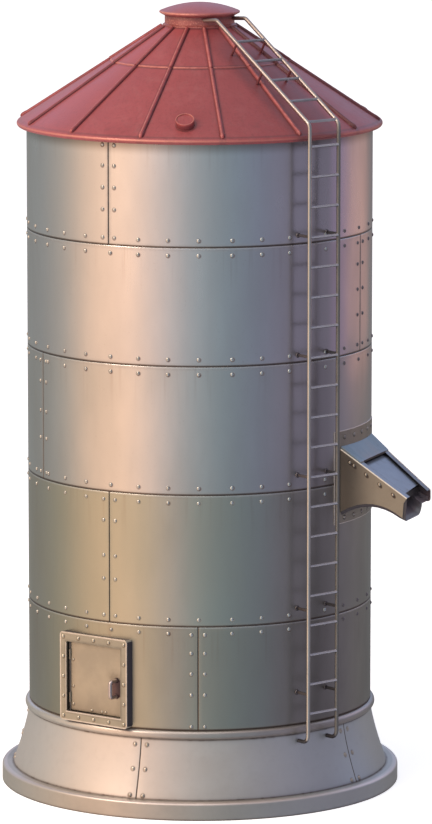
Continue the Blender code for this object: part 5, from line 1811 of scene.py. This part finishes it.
def build_fixings():
    head = dome_head()
    tree = fixings_tree()

    def row(name, spots, finish, wide, high, seed, body="silo"):
        values = {"Head": head, "Diameter": wide, "Height": high, "Variation": RIVET_VARIATION,
                  "Seed": seed, "Finish": finish}
        places, directions = zip(*spots)
        finished(grown(name, places, tree, values, directions), finish, body)

    spots = [(polar(azimuth, WALL_R - SUNK, z), outwards(azimuth))
             for azimuth, z in wall_rivets() if clear_of_pieces(azimuth, z)]
    row("wall_rivets", spots, rivet_steel("rivet_steel", RIVET_RIGHT), RIVET_WIDE, RIVET_HIGH, 1)
    row("skirt_rivets", skirt_spots(), rivet_steel("skirt_rivet_steel"), 0.044, 0.013, 2)

    hatch_heads = rivet_steel("hatch_rivet_steel")
    on_frame = [(x, z) for x in HATCH_RIVET_XS for z in HATCH_RIVET_ZS
                if abs(x) > OPENING_HALF_WIDTH or abs(z) > OPENING_HALF_HEIGHT]
    row("hatch_rivets", hatch_spots(on_frame, HATCH_FRONT), hatch_heads, 0.038, 0.013, 3)
    row("door_rivets", hatch_spots(DOOR_RIVETS, DOOR_FRONT), hatch_heads, 0.028, 0.009, 4, "hatch_leaf")

    band_r = WALL_R + GAP + PLATE - 0.0012
    spots = [(polar(CHUTE_AZIMUTH + turn, band_r, z), outwards(CHUTE_AZIMUTH + turn))
             for turn in BAND_TURNS for z in BAND_HEIGHTS]
    row("band_bolts", spots, rivet_steel("band_bolt_steel"), 0.036, 0.014, 5)
    row("cheek_rivets", cheek_spots(), rivet_steel("cheek_rivet_steel"), 0.034, 0.014, 6)
    bpy.data.objects.remove(head)


def cheek_spots():
    """Small rivets along the upper edge of both cheeks, on their outer sides."""
    taper = math.atan2(CHUTE_ROOT_HALF - CHUTE_MOUTH_HALF, CHUTE_MOUTH - CHUTE_ROOT)
    place = turned_to(CHUTE_AZIMUTH)
    spots = []
    for side in (-1, 1):
        out = place @ Vector((side * math.cos(taper), -math.sin(taper), 0))
        for share in CHEEK_RIVETS:
            distance = CHUTE_ROOT + share * (CHUTE_MOUTH - CHUTE_ROOT)
            half = CHUTE_ROOT_HALF + (CHUTE_MOUTH_HALF - CHUTE_ROOT_HALF) * share
            z = CHUTE_TOP_Z + (CHUTE_MOUTH_Z - CHUTE_TOP_Z) * share - CHEEK_RIVET_FALL
            spots.append((place @ Vector((side * half, -distance, z)), out))
    return spots


# Pieces that keep their own solids

def finish_inner_nodes():
    dull = inner_steel()
    inside = ["base_plate", "floor_plate", "eaves_ring"]
    inside += ["seam_strap_%d" % number for number in range(1, 5)]
    kept = dict.fromkeys(inside, dull)
    kept["hatch_hinge_pin"] = bar_steel("pin_steel", 0.25)
    for node, finish in kept.items():
        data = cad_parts[node].data
        data.materials.clear()
        data.materials.append(finish)


# Floor, light and camera

# Colour of the studio round the silo: azimuth, colour. The warm side is at the front left.
STUDIO = (
    (-180, (0.265, 0.285, 0.275)),
    (-126, (0.385, 0.41, 0.41)),
    (-100, (0.59, 0.57, 0.52)),
    (-74, (1.36, 0.97, 0.71)),
    (-50, (1.70, 1.18, 0.87)),
    (-28, (1.03, 0.87, 0.81)),
    (-8, (0.52, 0.58, 0.62)),
    (14, (0.31, 0.41, 0.47)),
    (40, (0.25, 0.29, 0.40)),
    (54, (0.265, 0.262, 0.350)),
    (66, (0.265, 0.250, 0.345)),
    (88, (0.185, 0.172, 0.235)),
    (116, (0.270, 0.262, 0.340)),
    (134, (0.29, 0.280, 0.285)),
    (156, (0.185, 0.205, 0.220)),
    (180, (0.265, 0.285, 0.275)),
)
BRIGHTEST = 2.0
SKY = (0.66, 0.60, 0.60)
BACK_SKY = (0.54, 0.66, 0.95)
BACKGROUND = (0.93, 0.93, 0.93)

# Softboxes: name, azimuth, distance and height, size, power, colour, height that they face
SOFTBOXES = (
    ("key_light", (-58, 24, 22), (9, 9), 3000, (1.0, 0.88, 0.76), 4.0),
    ("top_light", (-20, 9, 26), (14, 14), 980, (1.0, 0.95, 0.93), 4.0),
    ("upper_right_light", (122, 8.8, 4.7), (5.0, 3.4), 22, (1.0, 0.43, 0.30), 4.7),
)


def dimmed(colour):
    """A colour as a share of the brightest one."""
    return [part / BRIGHTEST for part in colour]


def build_studio():
    """World light whose colour turns with the azimuth, with a cooler sky behind and one above."""
    world = bpy.data.worlds.new("studio")
    bpy.context.scene.world = world
    world.use_nodes = True
    r = Recipe(world.node_tree)
    direction = r.node("ShaderNodeTexCoord", out="Generated")
    x = r.node("ShaderNodeSeparateXYZ", None, {0: direction})
    y, z = x.beside("Y"), x.beside("Z")
    share = x.maths("ARCTAN2", x, -y) / math.tau + 0.5
    stops = [((azimuth + 180) / 360, dimmed(colour)) for azimuth, colour in STUDIO]
    round_light = r.node("ShaderNodeValToRGB", {"stops": stops}, {0: share})
    mix = {"data_type": "RGBA", "blend_type": "MIX"}
    behind = z.over(0.10, 0.30) * (y + x * 0.35).over(0.35, 0.75)
    sockets = {0: behind, 6: round_light, 7: dimmed(BACK_SKY)}
    with_back = r.node("ShaderNodeMix", mix, sockets, 2)
    sockets = {0: z.over(0.60, 1.0) * 0.8, 6: with_back, 7: dimmed(SKY)}
    with_top = r.node("ShaderNodeMix", mix, sockets, 2)
    seen = r.node("ShaderNodeLightPath", out="Is Camera Ray")
    shown = r.node("ShaderNodeMix", mix, {0: seen, 6: with_top, 7: dimmed(BACKGROUND)}, 2)
    light = r.node("ShaderNodeBackground", None, {"Color": shown, "Strength": BRIGHTEST})
    r.node("ShaderNodeOutputWorld", None, {"Surface": light})

    for values in SOFTBOXES:
        softbox(*values)


def softbox(name, place, size, power, colour, aim):
    """Oblong light that faces the silo's axis at the height of its aim."""
    light = bpy.data.lights.new(name, "AREA")
    light.shape = "RECTANGLE"
    light.size, light.size_y = size
    light.energy = power
    light.color = colour
    obj = bpy.data.objects.new(name, light)
    bpy.context.scene.collection.objects.link(obj)
    obj.location = polar(*place)
    obj.rotation_euler = (Vector((0, 0, aim)) - obj.location).to_track_quat("-Z", "Y").to_euler()


def build_floor():
    half = FLOOR_HALF
    corners = [(-half, -half, 0), (half, -half, 0), (half, half, 0), (-half, half, 0)]
    mesh = bpy.data.meshes.new("floor")
    mesh.from_pydata(corners, [], [(0, 1, 2, 3)])
    floor = linked("floor", mesh)
    material = bpy.data.materials.new("pale_floor")
    material.use_nodes = True
    f = Recipe(material.node_tree)
    shader = f.node("ShaderNodeBsdfPrincipled", None, {
        "Base Color": FLOOR_TONE, "Roughness": 0.9, "Emission Color": (1, 1, 1),
        "Emission Strength": FLOOR_GLOW})
    f.node("ShaderNodeOutputMaterial", None, {"Surface": shader})
    mesh.materials.append(material)
    floor.visible_glossy = False


def build_camera():
    camera = bpy.data.objects.new("camera", bpy.data.cameras.new("camera"))
    bpy.context.scene.collection.objects.link(camera)
    camera.location = CAMERA_PLACE
    camera.rotation_euler = (math.radians(90 - CAMERA_DOWN), 0, math.radians(-CAMERA_RIGHT))
    camera.data.sensor_width = CAMERA_SENSOR
    camera.data.lens = CAMERA_LENS
    camera.data.clip_end = CAMERA_REACH
    bpy.context.scene.camera = camera


bpy.context.scene.view_settings.view_transform = "Standard"
build_camera()
build_studio()
build_floor()
build_base()
build_walls()
build_roof()
build_ladder()
build_hatch()
build_chute()
build_fixings()
finish_inner_nodes()
